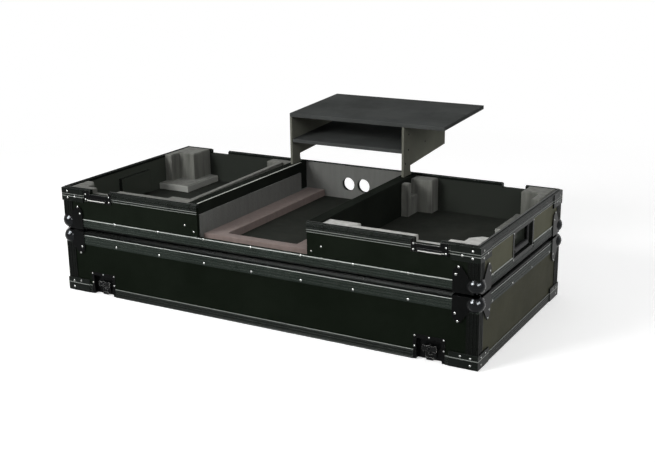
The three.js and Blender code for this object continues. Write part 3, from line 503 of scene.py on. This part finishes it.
# The right front pad is the same foam painted paler, a painted highlight where it catches the light, and the
# sides of the plinths under the columns carry a band of painted highlight from the light in front.
LIT_PAD_FOAM = replace(FOAM, name="lit_pad_foam", colour=(172, 172, 168), second=(200, 200, 196))
COLUMN_FOAM = replace(
    FOAM, name="column_foam", lines=bands(foot("foam_column_left"), (-0.5, 17.0)), line_tone=(150, 151, 146)
)
SHELF_BOARD = Finish(
    "shelf_board_laminate", (66, 68, 67), (78, 80, 79), Surface.LAMINATE, 0.6,
    scuff_and_glint_tone=(110, 112, 111), scuff_and_glint_share=0.6, specular=0.0,
)
SHELF_PLATE = Finish(
    "shelf_plate_laminate", (104, 105, 96), (116, 117, 107), Surface.LAMINATE, 0.6,
    scuff_and_glint_tone=(120, 120, 112), scuff_and_glint_share=0.4, specular=0.0,
)


def put(name: str, data: bpy.types.ID) -> Object:
    """Put data into the scene as a new object at the origin."""
    made = bpy.data.objects.new(name, data)
    bpy.context.scene.collection.objects.link(made)
    return made


def stand(thing: Object, place: np.ndarray, axes: Sequence[np.ndarray]) -> None:
    """Stand a lamp or camera at a place, with its own three axes turned to those given."""
    turn = Matrix(np.column_stack(axes).tolist()).to_4x4()
    thing.matrix_world = Matrix.Translation(tuple(place.tolist())) @ turn


def place_mesh(
    name: str, vertices: np.ndarray, faces: Iterable[Sequence[int]], material: bpy.types.Material,
    smooth: bool = False,
) -> Object:
    """Put arrays of corners and faces into a new object at the origin.

    Args:
        name: Name of the piece.
        vertices: Places in metres, one row each.
        faces: Corner numbers of each face, counter-clockwise from outside.
        material: Material of the whole piece.
        smooth: Whether the faces are shaded as a curved surface.

    Returns:
        The new object.
    """
    mesh = bpy.data.meshes.new(name)
    mesh.from_pydata(np.asarray(vertices, float).tolist(), [], [list(map(int, face)) for face in faces])
    mesh.polygons.foreach_set("use_smooth", np.full(len(mesh.polygons), smooth))
    mesh.materials.append(material)
    mesh.update()
    return put(name, mesh)


def ring_faces(rings: int, sides: int) -> np.ndarray:
    """Number the four-sided faces between closed rings of corners, one row for each face.

    Corner j of ring i has number i * sides + j, and a face joins it to its next
    neighbour on the ring and to the same two on the next ring.
    """
    i, j = np.meshgrid(np.arange(rings - 1), np.arange(sides), indexing="ij")
    near, after = i * sides + j, i * sides + (j + 1) % sides
    return np.stack([near, after, after + sides, near + sides], -1).reshape(-1, 4)


def each(stem: str, ends: Iterable[str]) -> list[str]:
    """Give the name of a repeated node with each of its ends."""
    return [f"{stem}_{end}" for end in ends]


def rectangle(x: Sequence[float], y: Sequence[float]) -> list[Pair]:
    """Give the corners of a rectangle in plan, counter-clockwise."""
    return [(x[0], y[0]), (x[1], y[0]), (x[1], y[1]), (x[0], y[1])]


def box_corner(low: Sequence[float], high: Sequence[float], signs: Sequence[float]) -> np.ndarray:
    """Give the corner of a box that lies furthest the way of each sign."""
    return np.where(np.asarray(signs) > 0, np.array(high), np.array(low))


def soften(piece: Object, width: float, segments: int = 2) -> None:
    """Merge a piece's corners and round its sharp edges over a width in metres."""
    weld = piece.modifiers.new("merge_corners", "WELD")
    weld.merge_threshold = WELD_REACH
    bevel = piece.modifiers.new("soft_edges", "BEVEL")
    bevel.width = width
    bevel.segments = segments
    bevel.limit_method = "ANGLE"
    bevel.angle_limit = SHARP_ANGLE
    bevel.use_clamp_overlap = True


def dress(names: Iterable[str], finish: Finish, edge: float = 0.0) -> None:
    """Give CAD nodes their finish, and soften their edges over a width in metres, if there is one."""
    for name in names:
        node = frame["nodes"][name]
        node.data.materials.clear()
        node.data.materials.append(finish.build())
        if edge > 0:
            soften(node, edge)


@dataclass
class RivetRow:
    """Domed rivet or screw heads of one size, gathered on one body."""

    name: str
    body: str
    radius: float = 3.2 * MM
    height: float = 1.4 * MM
    finish: Finish = RIVET
    sides: int = 12
    rings: int = 4
    sunk: float = 0.2  # Share of the height that lies under the face.
    seats: list[tuple[np.ndarray, np.ndarray]] = field(default_factory=list)

    def add(self, places: Sequence[Sequence[float]], outward: Sequence[float]) -> None:
        """Set heads with these centres in metres on a flat face that looks outward."""
        points = np.asarray(places, float).reshape(-1, 3)
        self.seats.append((points, np.tile(np.asarray(outward, float), (len(points), 1))))

    def on_wall(
        self, box: Sequence[Sequence[float]], axis: int, outward: int, places: Iterable[Sequence[float]],
        out: float = 0.0,
    ) -> None:
        """Set heads on an upright face of a box.

        Args:
            box: Its lowest and highest corner.
            axis: Axis that the face looks along, 0 for x and 1 for y.
            outward: Sign of the way that it looks.
            places: Centres, along from the middle of the face and up from the floor.
            out: How far the heads' seat stands out from the face.
        """
        low, high = box
        face = (low if outward < 0 else high)[axis] + outward * out
        middle = (low[1 - axis] + high[1 - axis]) / 2
        points = [(middle + along, height) for along, height in places]
        self.add(np.insert(points, axis, face, axis=1), outward * np.eye(3)[axis])

    def head(self) -> tuple[np.ndarray, list[np.ndarray]]:
        """Work out one head on a face that looks up.

        A head's ring at angle t above its rim has radius r cos(t) and height h sin(t)
        over the face; one corner closes the top and one the underside.

        Returns:
            Its corners, and its faces: those between the rings, the crown and the underside.
        """
        rise = np.linspace(0, np.pi / 2, self.rings + 1)[:-1, None]
        turn = np.arange(self.sides) * 2 * np.pi / self.sides
        flat = np.cos(rise) * self.radius
        upright = np.repeat(np.sin(rise), self.sides, 1) * self.height
        rim = np.stack([flat * np.cos(turn), flat * np.sin(turn), upright], -1).reshape(-1, 3)
        corners = np.concatenate([rim, [[0, 0, self.height], [0, 0, -self.sunk * self.height]]])
        around = np.arange(self.sides)
        after = (around + 1) % self.sides
        last, crown = (self.rings - 1) * self.sides, self.rings * self.sides
        over = np.stack([last + around, last + after, np.full(self.sides, crown)], -1)
        under = np.stack([after, around, np.full(self.sides, crown + 1)], -1)
        return corners, [ring_faces(self.rings, self.sides), over, under]

    def build(self) -> Object:
        """Make all heads as one mesh, each turned to its face's own axes, and let it ride."""
        centres = np.concatenate([seat[0] for seat in self.seats])
        normals = np.concatenate([seat[1] for seat in self.seats])
        level_face = np.abs(normals[:, 2:]) > 0.9
        across = np.cross(np.where(level_face, [[1.0, 0.0, 0.0]], [[0.0, 0.0, 1.0]]), normals)
        across /= np.linalg.norm(across, axis=1, keepdims=True)
        axes = np.stack([across, np.cross(normals, across), normals], 1)
        corners, parts = self.head()
        places = (centres[:, None] + corners @ axes).reshape(-1, 3)
        starts = np.arange(len(centres))[:, None, None] * len(corners)
        faces: list[list[int]] = []
        for part in parts:
            faces += (starts + part).reshape(-1, part.shape[1]).tolist()
        piece = place_mesh(self.name, places, faces, self.finish.build(), smooth=True)
        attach(piece, self.body)
        return piece


@dataclass
class FoamBlock:
    """Block of cut foam: prisms with softened upper edges in the place of a plain solid."""

    node: str
    finish: Finish
    slot: str
    edge: float = 3.0 * MM
    rings: int = 4
    spacing: float = 12.0 * MM
    unevenness: float = 0.35 * MM
    # Waves of the cut in radians a metre, what the shorter adds, and what parts their phases.
    long_wave: float = 61.0
    short_wave: float = 143.0
    short_share: float = 0.6
    short_phase: float = 1.3
    height_phase: float = 40.0

    def prism(self, outline: np.ndarray, low: float, high: float) -> tuple[np.ndarray, list[list[int]]]:
        """Work out one upright prism with a rounded upper edge.

        The outline is cut into short steps. Ring k of the rounded edge lies inward by
        e (1 - cos(t)) and up to the top less e (1 - sin(t)), with t from 0 to a quarter
        turn, and each side wall waves in and out a little as a sum of sines of its length.

        Args:
            outline: Corners in plan, counter-clockwise, in metres.
            low: Height of the foot.
            high: Height of the top.

        Returns:
            Corners and faces of the closed prism.
        """
        span = np.roll(outline, -1, axis=0) - outline
        length = np.linalg.norm(span, axis=1)
        side = span / length[:, None]
        outward = np.stack([side[:, 1], -side[:, 0]], -1)
        before = np.roll(outward, 1, axis=0)
        corner = (outward + before) / (1 + np.sum(outward * before, axis=1))[:, None]
        steps = np.maximum(np.round(length / self.spacing).astype(int), 2)
        index = np.repeat(np.arange(len(outline)), steps)
        share = np.concatenate([np.arange(count) / count for count in steps])
        base = outline[index] + span[index] * share[:, None]
        first = share == 0
        push = np.where(first[:, None], corner[index], outward[index])
        run = np.concatenate([[0], np.cumsum(length)])[index] + length[index] * share
        wave = np.sin(run * self.long_wave + low * self.height_phase)
        wave = wave + self.short_share * np.sin(run * self.short_wave + self.short_phase)
        wave = np.where(first, 0, wave * self.unevenness)
        turn = np.linspace(0, np.pi / 2, self.rings)[1:]
        inward = np.concatenate([[0.0, 0.0], self.edge * (1 - np.cos(turn))])
        heights = np.concatenate([[low, high - self.edge], high - self.edge * (1 - np.sin(turn))])
        shift = -inward[:, None] - np.abs(wave)[None]
        plan = base[None] + push[None] * shift[..., None]
        up = np.repeat(heights[:, None], len(base), 1)
        corners = np.concatenate([plan, up[..., None]], -1).reshape(-1, 3)
        count = len(base)
        faces = ring_faces(len(heights), count).tolist()
        faces.append(list(range((len(heights) - 1) * count, len(heights) * count)))
        faces.append(list(range(count - 1, -1, -1)))
        return corners, faces

    def build(self, *prisms: tuple[Sequence[Sequence[float]], float, float]) -> Object:
        """Put prisms, each an outline in metres with its foot and top, in the node's place."""
        corners: list[np.ndarray] = []
        faces: list[list[int]] = []
        start = 0
        for outline, low, high in prisms:
            plan = np.asarray(outline, float)
            turned = np.roll(plan, -1, axis=0)
            area = np.sum(plan[:, 0] * turned[:, 1] - turned[:, 0] * plan[:, 1])
            points, sides = self.prism(plan if area > 0 else plan[::-1], low, high)
            corners.append(points)
            faces += [[number + start for number in face] for face in sides]
            start += len(points)
        piece = place_mesh(f"{self.node}_cut", np.concatenate(corners), faces, self.finish.build())
        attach(piece, frame["nodes"][self.node]["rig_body"])
        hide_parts(self.node)
        return piece


@dataclass
class Shell:
    """What the lid and the base share: an edge angle, ball corners and braced rims with rivets.

    Attributes:
        body: Body that the pieces ride, which their names start with.
        rims: Nodes of the rim.
        up: 1 where the ball corners are at the top and the rim at the foot, else -1.
        rivet_row: Height of the rivets round the edge angle.
        side_rows: Their places along the end walls, from the middle.
        brace_places: Rivets on a brace's plate, along the edge and away from the rim.
        tongue: How far the rim's tongue stands past its plane.
        pitch: Spacing of the edge angle's rivets, with so many pitches to each side.
        rib: Depth of their seat under the ribs.
        wing: How far a ball corner's wing stands off the angle.
        wing_places: Rivets on a wing, along the edge and away from it.
    """

    body: str
    rims: tuple[str, ...]
    up: int
    rivet_row: float
    side_rows: tuple[float, ...]
    brace_places: Pairs
    tongue: float = 0.0
    pitch: float = 132.7 * MM
    pitches: int = 3
    rib: float = 0.8 * MM
    wing: float = 1.7 * MM
    wing_places: Pairs = ((0.053, 0.038), (0.047, 0.055))

    def edge_rivets(self) -> Object:
        """Set the row of rivets round the edge angle."""
        row = RivetRow(f"{self.body}_edge_rivets", self.body)
        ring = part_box(f"{self.body}_edge_frame")
        along = np.arange(-self.pitches, self.pitches + 1) * self.pitch
        for axis, offsets in ((1, along), (0, self.side_rows)):
            places = [(offset, self.rivet_row) for offset in offsets]
            for outward in (-1, 1):
                row.on_wall(ring, axis, outward, places, out=-self.rib)
        return row.build()

    def corner_rivets(self) -> Object:
        """Set the rivets of ball corners and braces, inward from the angle's or rim's corner."""
        row = RivetRow(f"{self.body}_corner_rivets", self.body, radius=2.9 * MM, height=1.3 * MM)
        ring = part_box(f"{self.body}_edge_frame")
        rims = [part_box(rim) for rim in self.rims]
        rim_low, rim_high = np.min(rims, axis=(0, 1)), np.max(rims, axis=(0, 1))
        for plan in CORNERS.values():
            sign = np.array([*plan, self.up])
            ball = box_corner(*ring, sign)
            for axis in (1, 0, 2):
                inward = np.insert(self.wing_places, axis, -self.wing, axis=1)
                row.add(ball - sign * inward, sign * np.eye(3)[axis])
            brace = box_corner(rim_low, rim_high, (*plan, -self.up)) - (0, 0, self.tongue)
            for axis in (1, 0):
                inward = np.insert(np.multiply(self.brace_places, (1, -1)), axis, 0.0, axis=1)
                row.add(brace - sign * inward, sign * np.eye(3)[axis])
        return row.build()


@dataclass
class Lid(Shell):
    """The lid: panels, extrusions, braces, ball corners and latches."""

    body: str = "lid"
    rims: tuple[str, ...] = ("lid_rim_left", "lid_rim_right")
    up: int = 1
    rivet_row: float = 133.5 * MM
    side_rows: tuple[float, ...] = (-0.188, -0.0627, 0.0627, 0.188)
    brace_places: Pairs = ((0.018, 0.010), (0.018, 0.026), (0.041, 0.028))
    # Rivets of a latch dish, across from its middle and up from the floor.
    dish_places: Pairs = ((-0.0341, 0.0546), (0.0, 0.0546), (0.0341, 0.0546), (-0.0341, 0.03), (0.0341, 0.03))

    def build(self) -> list[Object]:
        """Dress the lid, set its rivets and give the new pieces."""
        dress(["lid_top_panel", "lid_front_panel", "lid_rear_panel"], LAMINATE)
        dress(["lid_left_panel", "lid_right_panel"], END_SHEEN_LAMINATE)
        dress(["lid_edge_frame"], LID_EXTRUSION, edge=0.25 * MM)
        dress(each("lid_rim", ("front", "rear", "left", "right")), LID_RIM, edge=0.25 * MM)
        dress(each("lid_ball_corner", CORNERS), LID_BALL_STEEL, edge=0.4 * MM)
        dress(each("latch_dish", CORNERS), BLACK_STEEL, edge=0.4 * MM)
        dress(each("latch_butterfly", CORNERS), LATCH_STEEL, edge=0.5 * MM)
        dress(each("latch_hook", CORNERS), LATCH_STEEL, edge=0.3 * MM)
        return [self.edge_rivets(), self.corner_rivets(), self.latch_rivets()]

    def latch_rivets(self) -> Object:
        """Set the rivets that hold the latch dishes."""
        row = RivetRow("lid_latch_rivets", "lid", radius=2.3 * MM, height=1.1 * MM)
        for corner, (_, outward) in CORNERS.items():
            row.on_wall(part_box(f"latch_dish_{corner}"), 1, outward, self.dish_places)
        return row.build()


@dataclass
class BaseTray(Shell):
    """The open base: panels, extrusions, catches, handles, dividers and foam."""

    body: str = "base"
    rims: tuple[str, ...] = ("base_rim",)
    up: int = -1
    rivet_row: float = 192.4 * MM
    side_rows: tuple[float, ...] = (-0.188, 0.188)
    brace_places: Pairs = ((0.018, 0.010), (0.018, 0.026), (0.041, 0.022))
    tongue: float = 2.0 * MM
    # Rivets of a catch plate, across from its middle and down from its top, and how far its
    # folded bar stands off the plate.
    catch_places: Pairs = ((-0.037, 0.010), (-0.037, 0.023), (0.037, 0.010), (0.037, 0.023))
    catch_bar: float = 2.9 * MM
    # Rivets of a handle dish, along from its middle and up from its foot.
    handle_places: Pairs = ((-0.064, 0.007), (0.064, 0.007), (-0.064, 0.067), (0.064, 0.067))
    # Rivets to each side of the mixer's way out, from the middle and up from the floor.
    mouth_places: Pairs = ((0.160, 0.2064), (0.1852, 0.2197))
    # The divider's edge strip: its width, where it starts and ends, and its foot and top, all
    # from the divider's nearest face.
    strip_width: float = 4 * MM
    strip_ends: Pair = (1 * MM, -30 * MM)
    strip_heights: Pair = (-0.1 * MM, 0.5 * MM)

    def build(self) -> list[Object]:
        """Dress the base, cut its foam, set its rivets and give the new pieces."""
        dress(["base_front_panel", "base_rear_panel"], TRAY_LAMINATE)
        dress(["base_left_panel", "base_right_panel"], TRAY_END_SHEEN_LAMINATE)
        dress(["base_floor_panel"], FLOOR_LAMINATE)
        dress(["base_edge_frame"], BASE_EXTRUSION, edge=0.25 * MM)
        dress(["base_rim"], RIM, edge=0.25 * MM)
        dress(each("base_ball_corner", CORNERS), BASE_BALL_STEEL, edge=0.4 * MM)
        dress(each("catch_plate", CORNERS), CATCH_STEEL, edge=0.3 * MM)
        dress(each("handle_dish", SIDES), DISH_STEEL, edge=0.4 * MM)
        dress(each("handle_bail", SIDES), GRIP)
        dress(each("divider", SIDES), DIVIDER, edge=0.5 * MM)
        pieces = [self.edge_rivets(), self.corner_rivets(), self.plate_rivets(), self.divider_strip()]
        for side in SIDES:
            pieces += PlayerFoam(side).build()
        return pieces + MixerFoam().build()

    def plate_rivets(self) -> Object:
        """Set the rivets of the catch plates, the handle dishes and the mixer's way out."""
        row = RivetRow("base_plate_rivets", "base", radius=2.3 * MM, height=1.1 * MM)
        for corner, (_, outward) in CORNERS.items():
            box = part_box(f"catch_plate_{corner}")
            places = [(along, box[1].z - down) for along, down in self.catch_places]
            row.on_wall(box, 1, outward, places, out=-self.catch_bar)
        for side, outward in SIDES.items():
            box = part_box(f"handle_dish_{side}")
            row.on_wall(box, 0, outward, [(along, box[0].z + up) for along, up in self.handle_places])
        mouth = [(sign * along, height) for sign in SIDES.values() for along, height in self.mouth_places]
        row.on_wall(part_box("base_front_panel"), 1, -1, mouth)
        return row.build()

    def divider_strip(self) -> Object:
        """Lay the light edge strip along the mixer's side of the left divider's top."""
        low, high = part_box("divider_left")
        x = (high.x - self.strip_width, high.x)
        y = (low.y + self.strip_ends[0], high.y + self.strip_ends[1])
        z = (high.z + self.strip_heights[0], high.z + self.strip_heights[1])
        corners = np.stack(np.meshgrid(x, y, z, indexing="ij"), -1).reshape(-1, 3)
        faces = [(0, 1, 3, 2), (4, 6, 7, 5), (0, 4, 5, 1), (2, 3, 7, 6), (0, 2, 6, 4), (1, 5, 7, 3)]
        strip = place_mesh("divider_edge_strip", corners, faces, DIVIDER_EDGE.build())
        soften(strip, 0.2 * MM)
        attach(strip, "base")
        return strip


# Width along the rear wall and depth along the end wall of each side's foam column.
COLUMN_SIZES = {"left": (73 * MM, 78 * MM), "right": (67 * MM, 57 * MM)}


@dataclass
class PlayerFoam:
    """The foam of one player bay: corner column, rear block and front pad."""

    side: str
    clear: float = 0.4 * MM  # How far a joined prism reaches into the next, or stays inside its sides.
    # The column: height of its plinth, and thickness and reach of its arm along the end wall.
    plinth: float = 18.3 * MM
    arm: float = 23 * MM
    arm_reach: float = 114 * MM
    # The right rear block: its depth, the post before it, and the low web that joins the two.
    block_deep: float = 37 * MM
    post_deep: float = 16 * MM
    post_wide: float = 19 * MM
    web_high: float = 47.7 * MM
    web_overlap: float = 6 * MM
    # The front pad: its depth, and a dip behind the catch plate from the middle of the length.
    pad_deep: float = 25 * MM
    dip: Pair = (404 * MM, 478 * MM)
    dip_deep: float = 12 * MM
    # Its ends: length and depth of the inner block, the outer block and the outer block's corner.
    inner_end: Pair = (78 * MM, 43 * MM)
    outer_end: Pair = (40 * MM, 49 * MM)
    outer_corner: Pair = (18 * MM, 71 * MM)

    def build(self) -> list[Object]:
        """Cut the three pieces of the bay."""
        return [self.column(), self.rear_block(), self.front_pad()]

    def column(self) -> Object:
        """Cut the stepped corner column on its plinth."""
        low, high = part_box(f"foam_column_{self.side}")
        sign = SIDES[self.side]
        wall = low.x if sign < 0 else high.x
        wide, deep = COLUMN_SIZES[self.side]
        arm, reach = self.arm, self.arm_reach
        steps = [(0, 0), (wide, 0), (wide, deep), (arm, deep), (arm, reach), (0, reach)]
        outline = [(wall - sign * along, high.y - back) for along, back in steps]
        plinth_top = low.z + self.plinth
        block = FoamBlock(f"foam_column_{self.side}", COLUMN_FOAM, "foam", edge=4.0 * MM, unevenness=0.7 * MM)
        return block.build(
            (rectangle((low.x, high.x), (low.y, high.y)), low.z, plinth_top),
            (outline, plinth_top - self.clear, high.z),
        )

    def rear_block(self) -> Object:
        """Cut the rear block beside a divider; the right one has a post in front of it."""
        low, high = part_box(f"foam_rear_block_{self.side}")
        block = FoamBlock(f"foam_rear_block_{self.side}", FOAM, "foam", unevenness=0.6 * MM)
        if self.side == "left":
            return block.build((rectangle((low.x, high.x), (low.y, high.y)), low.z, high.z))
        back, post = high.y - self.block_deep, low.y + self.post_deep
        post_side = (low.x, low.x + self.post_wide)
        web_side = (low.x + self.clear, post_side[1] - self.clear)
        web_ends = (post - self.web_overlap, back + self.web_overlap)
        return block.build(
            (rectangle((low.x, high.x), (back, high.y)), low.z, high.z),
            (rectangle(post_side, (low.y, post)), low.z, high.z),
            (rectangle(web_side, web_ends), low.z, low.z + self.web_high),
        )

    def front_pad(self) -> Object:
        """Cut the pad along the front wall with the blocks at its ends."""
        low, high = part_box(f"foam_front_{self.side}")
        sign = SIDES[self.side]
        wall, inner = (low.x, high.x) if sign < 0 else (high.x, low.x)
        near, far = (sign * distance for distance in self.dip)
        (long, deep), (outer_long, outer_deep) = self.inner_end, self.outer_end
        (corner_long, corner_deep), pad = self.outer_corner, self.pad_deep
        inner_part = [
            (near, 0), (inner, 0), (inner, deep), (inner + sign * long, deep),
            (inner + sign * long, pad), (near, pad),
        ]
        outer_part = [
            (wall, 0), (far, 0), (far, pad), (wall - sign * outer_long, pad),
            (wall - sign * outer_long, outer_deep), (wall - sign * corner_long, corner_deep),
            (wall, corner_deep),
        ]
        dip = rectangle(sorted((near, far)), (0, pad))
        # The right pad takes the paler foam, a painted highlight.
        finish = LIT_PAD_FOAM if self.side == "right" else FOAM
        block = FoamBlock(f"foam_front_{self.side}", finish, "foam", edge=2.5 * MM)
        tops = ((inner_part, high.z), (outer_part, high.z), (dip, high.z - self.dip_deep))
        return block.build(*(([(x, low.y + y) for x, y in part], low.z, end) for part, end in tops))


@dataclass
class MixerFoam:
    """The foam of the mixer bay, and the slanted board in the bay left of it."""

    riser_inner: float = 94 * MM  # Half width of the riser's gap.
    riser_bar: float = 26 * MM  # Depth of the bar across its front.
    spacer_thick: float = 13 * MM
    liner_edge: float = 1.2 * MM

    def build(self) -> list[Object]:
        """Make the three pieces."""
        return [self.liner(), self.riser(), self.spacer()]

    def liner(self) -> Object:
        """Dress a fine copy of the bay liner, whose holes a plain prism can't have."""
        mesh = frame["nodes"]["mixer_bay_liner"].data.copy()
        mesh.name = "mixer_bay_liner_cut"
        mesh.materials.clear()
        mesh.materials.append(LINER.build())
        piece = put("mixer_bay_liner_cut", mesh)
        soften(piece, self.liner_edge, segments=3)
        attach(piece, "base")
        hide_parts("mixer_bay_liner")
        return piece

    def riser(self) -> Object:
        """Cut the riser under the mixer, open at the back."""
        low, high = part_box("mixer_foam_riser")
        inner, bar = self.riser_inner, low.y + self.riser_bar
        outline = [
            (low.x, low.y), (high.x, low.y), (high.x, high.y), (inner, high.y),
            (inner, bar), (-inner, bar), (-inner, high.y), (low.x, high.y),
        ]
        return FoamBlock("mixer_foam_riser", RISER, "riser", edge=2.0 * MM).build((outline, low.z, high.z))

    def spacer(self) -> Object:
        """Cut the slanted spacer board of the left bay."""
        low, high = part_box("bay_spacer_board")
        thick = self.spacer_thick
        outline = [(high.x, low.y), (low.x + thick, high.y), (low.x, high.y), (high.x - thick, low.y)]
        return FoamBlock("bay_spacer_board", FOAM, "foam", edge=1.5 * MM).build((outline, low.z, high.z))


@dataclass
class LaptopShelf:
    """The plug-in shelf: two boards between plates with legs."""

    # Screws of a side plate, back from the middle of the case and up from the floor.
    screws: Pairs = ((0.224, 0.380), (0.324, 0.343), (0.222, 0.340), (0.205, 0.307))

    def build(self) -> list[Object]:
        """Dress the shelf, set its screws and give the new piece."""
        dress(["shelf_top_board", "shelf_lower_board"], SHELF_BOARD, edge=0.8 * MM)
        dress(each("shelf_side_plate", SIDES), SHELF_PLATE, edge=0.5 * MM)
        row = RivetRow("shelf_screws", "shelf", radius=2.6 * MM, height=0.9 * MM, finish=BLACK_STEEL)
        for side, outward in SIDES.items():
            low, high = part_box(f"shelf_side_plate_{side}")
            face = low.x if outward < 0 else high.x
            row.add([(face, MIDDLE[1] + y, z) for y, z in self.screws], (outward, 0, 0))
        return [row.build()]


@dataclass(frozen=True)
class Lamp:
    """One soft square lamp, hung from the case's middle, that may show in reflections only."""

    name: str
    place: tuple[float, float, float]
    size: float
    power: float
    shine: bool = False

    def hang(self, aim: float) -> None:
        """Hang the lamp so that it looks at a height over the middle of the case."""
        light = bpy.data.lights.new(self.name, "AREA")
        light.shape = "SQUARE"
        light.size = self.size
        light.energy = self.power
        lamp = put(self.name, light)
        lamp.visible_diffuse = not self.shine
        away = np.array(self.place) - (0, 0, aim)
        away /= np.linalg.norm(away)
        side = np.cross((0, 0, 1), away)
        side /= np.linalg.norm(side)
        stand(lamp, MIDDLE + self.place, (side, np.cross(away, side), away))


LAMPS = (
    Lamp("key_left", (-1.6, -3.2, 1.9), 1.3, 106.0),
    Lamp("fill_right", (2.7, -2.4, 2.1), 1.2, 27.0),
    Lamp("shine_left", (-1.2, -2.6, 2.3), 1.8, 560.0, shine=True),
    Lamp("shine_right", (3.0, -1.9, 1.9), 1.8, 330.0, shine=True),
    Lamp("soft_overhead", (0.2, 0.3, 3.0), 2.6, 12.0),
    Lamp("soft_rear_right", (2.6, 3.0, 1.3), 2.4, 14.0),
)


@dataclass
class Studio:
    """Pale floor, soft lamps and white surroundings."""

    aim: float = 0.2
    world_light: float = 0.3
    floor_size: float = 14.0
    floor_gap: float = 0.4 * MM
    floor_tone: float = 0.86
    floor_roughness: float = 0.9
    floor_specular: float = 0.1
    floor_glow: float = 0.47
    fade: Pair = (0.9, 2.2)  # Distances between which the floor turns plain white.

    def build(self) -> None:
        """Set floor, world and lamps, and the plain view settings."""
        self.world()
        self.floor()
        for lamp in LAMPS:
            lamp.hang(self.aim)
        bpy.context.scene.view_settings.view_transform = "Standard"

    def world(self) -> None:
        """White to the camera and in reflections, a calmer grey as light."""
        world = bpy.data.worlds.new("studio_world")
        bpy.context.scene.world = world
        world.use_nodes = True
        sheet = NodeSheet(world.node_tree)
        back = world.node_tree.nodes["Background"]
        back.inputs["Color"].default_value = (1, 1, 1, 1)
        sheet.link(sheet.span(sheet.seen(), 0.0, 1.0, self.world_light, 1.0), back.inputs["Strength"])

    def floor(self) -> None:
        """Lay the floor: a matt pale plane that shows white to the camera and keeps the shadow."""
        material = bpy.data.materials.new("studio_floor")
        material.use_nodes = True
        sheet = NodeSheet(material.node_tree)
        shader = sheet.tree.nodes["Principled BSDF"]
        shader.inputs["Base Color"].default_value = (self.floor_tone, self.floor_tone, self.floor_tone, 1)
        shader.inputs["Roughness"].default_value = self.floor_roughness
        shader.inputs["Specular IOR Level"].default_value = self.floor_specular
        seen = sheet.seen()
        glow = sheet.emission(sheet.span(seen, 0.0, 1.0, 0.0, self.floor_glow))
        near = sheet.node("ShaderNodeAddShader", shader.outputs[0], glow).outputs[0]
        away = sheet.span(sheet.vectors("LENGTH", sheet.place).outputs["Value"], *self.fade)
        blend = sheet.node("ShaderNodeMixShader", away, near, sheet.emission(seen))
        sheet.link(blend.outputs[0], sheet.tree.nodes["Material Output"].inputs["Surface"])
        half, low = self.floor_size / 2, -self.floor_gap
        corners = np.array([(-half, -half, low), (half, -half, low), (half, half, low), (-half, half, low)])
        plane = place_mesh("studio_floor", corners, [(0, 1, 2, 3)], material)


@dataclass
class Viewpoint:
    """The camera at the photograph's viewing angle, with its place from the middle of the case."""

    place: tuple[float, float, float] = (1.3211, -2.2375, 0.9392)
    yaw: float = math.radians(-29.53)
    pitch: float = math.radians(16.72)
    roll: float = math.radians(-0.73)
    lens: float = 59.66
    sensor: float = 36.0
    clip: Pair = (0.05, 60.0)

    def build(self) -> None:
        """Set up the camera, with axes from the yaw about the upright, the pitch down and the roll."""
        ahead = math.cos(self.pitch)
        look = np.array([math.sin(self.yaw) * ahead, math.cos(self.yaw) * ahead, -math.sin(self.pitch)])
        right = np.array([math.cos(self.yaw), -math.sin(self.yaw), 0])
        above = np.cross(right, look)
        across = math.cos(self.roll) * right + math.sin(self.roll) * above
        up = -math.sin(self.roll) * right + math.cos(self.roll) * above
        data = bpy.data.cameras.new("photo_camera")
        data.lens = self.lens
        data.sensor_width = self.sensor
        data.clip_start, data.clip_end = self.clip
        camera = put("photo_camera", data)
        stand(camera, MIDDLE + self.place, (across, up, -look))
        bpy.context.scene.camera = camera


def main() -> None:
    """Build the studio and the case, and note the sizes."""
    Viewpoint().build()
    Studio().build()
    for part in (Lid(), BaseTray(), LaptopShelf()):
        for piece in part.build():
            log.info("%s: %s with %d faces", type(part).__name__, piece.name, len(piece.data.polygons))


if __name__ == "__main__":
    logging.basicConfig(level=logging.INFO)
    main()
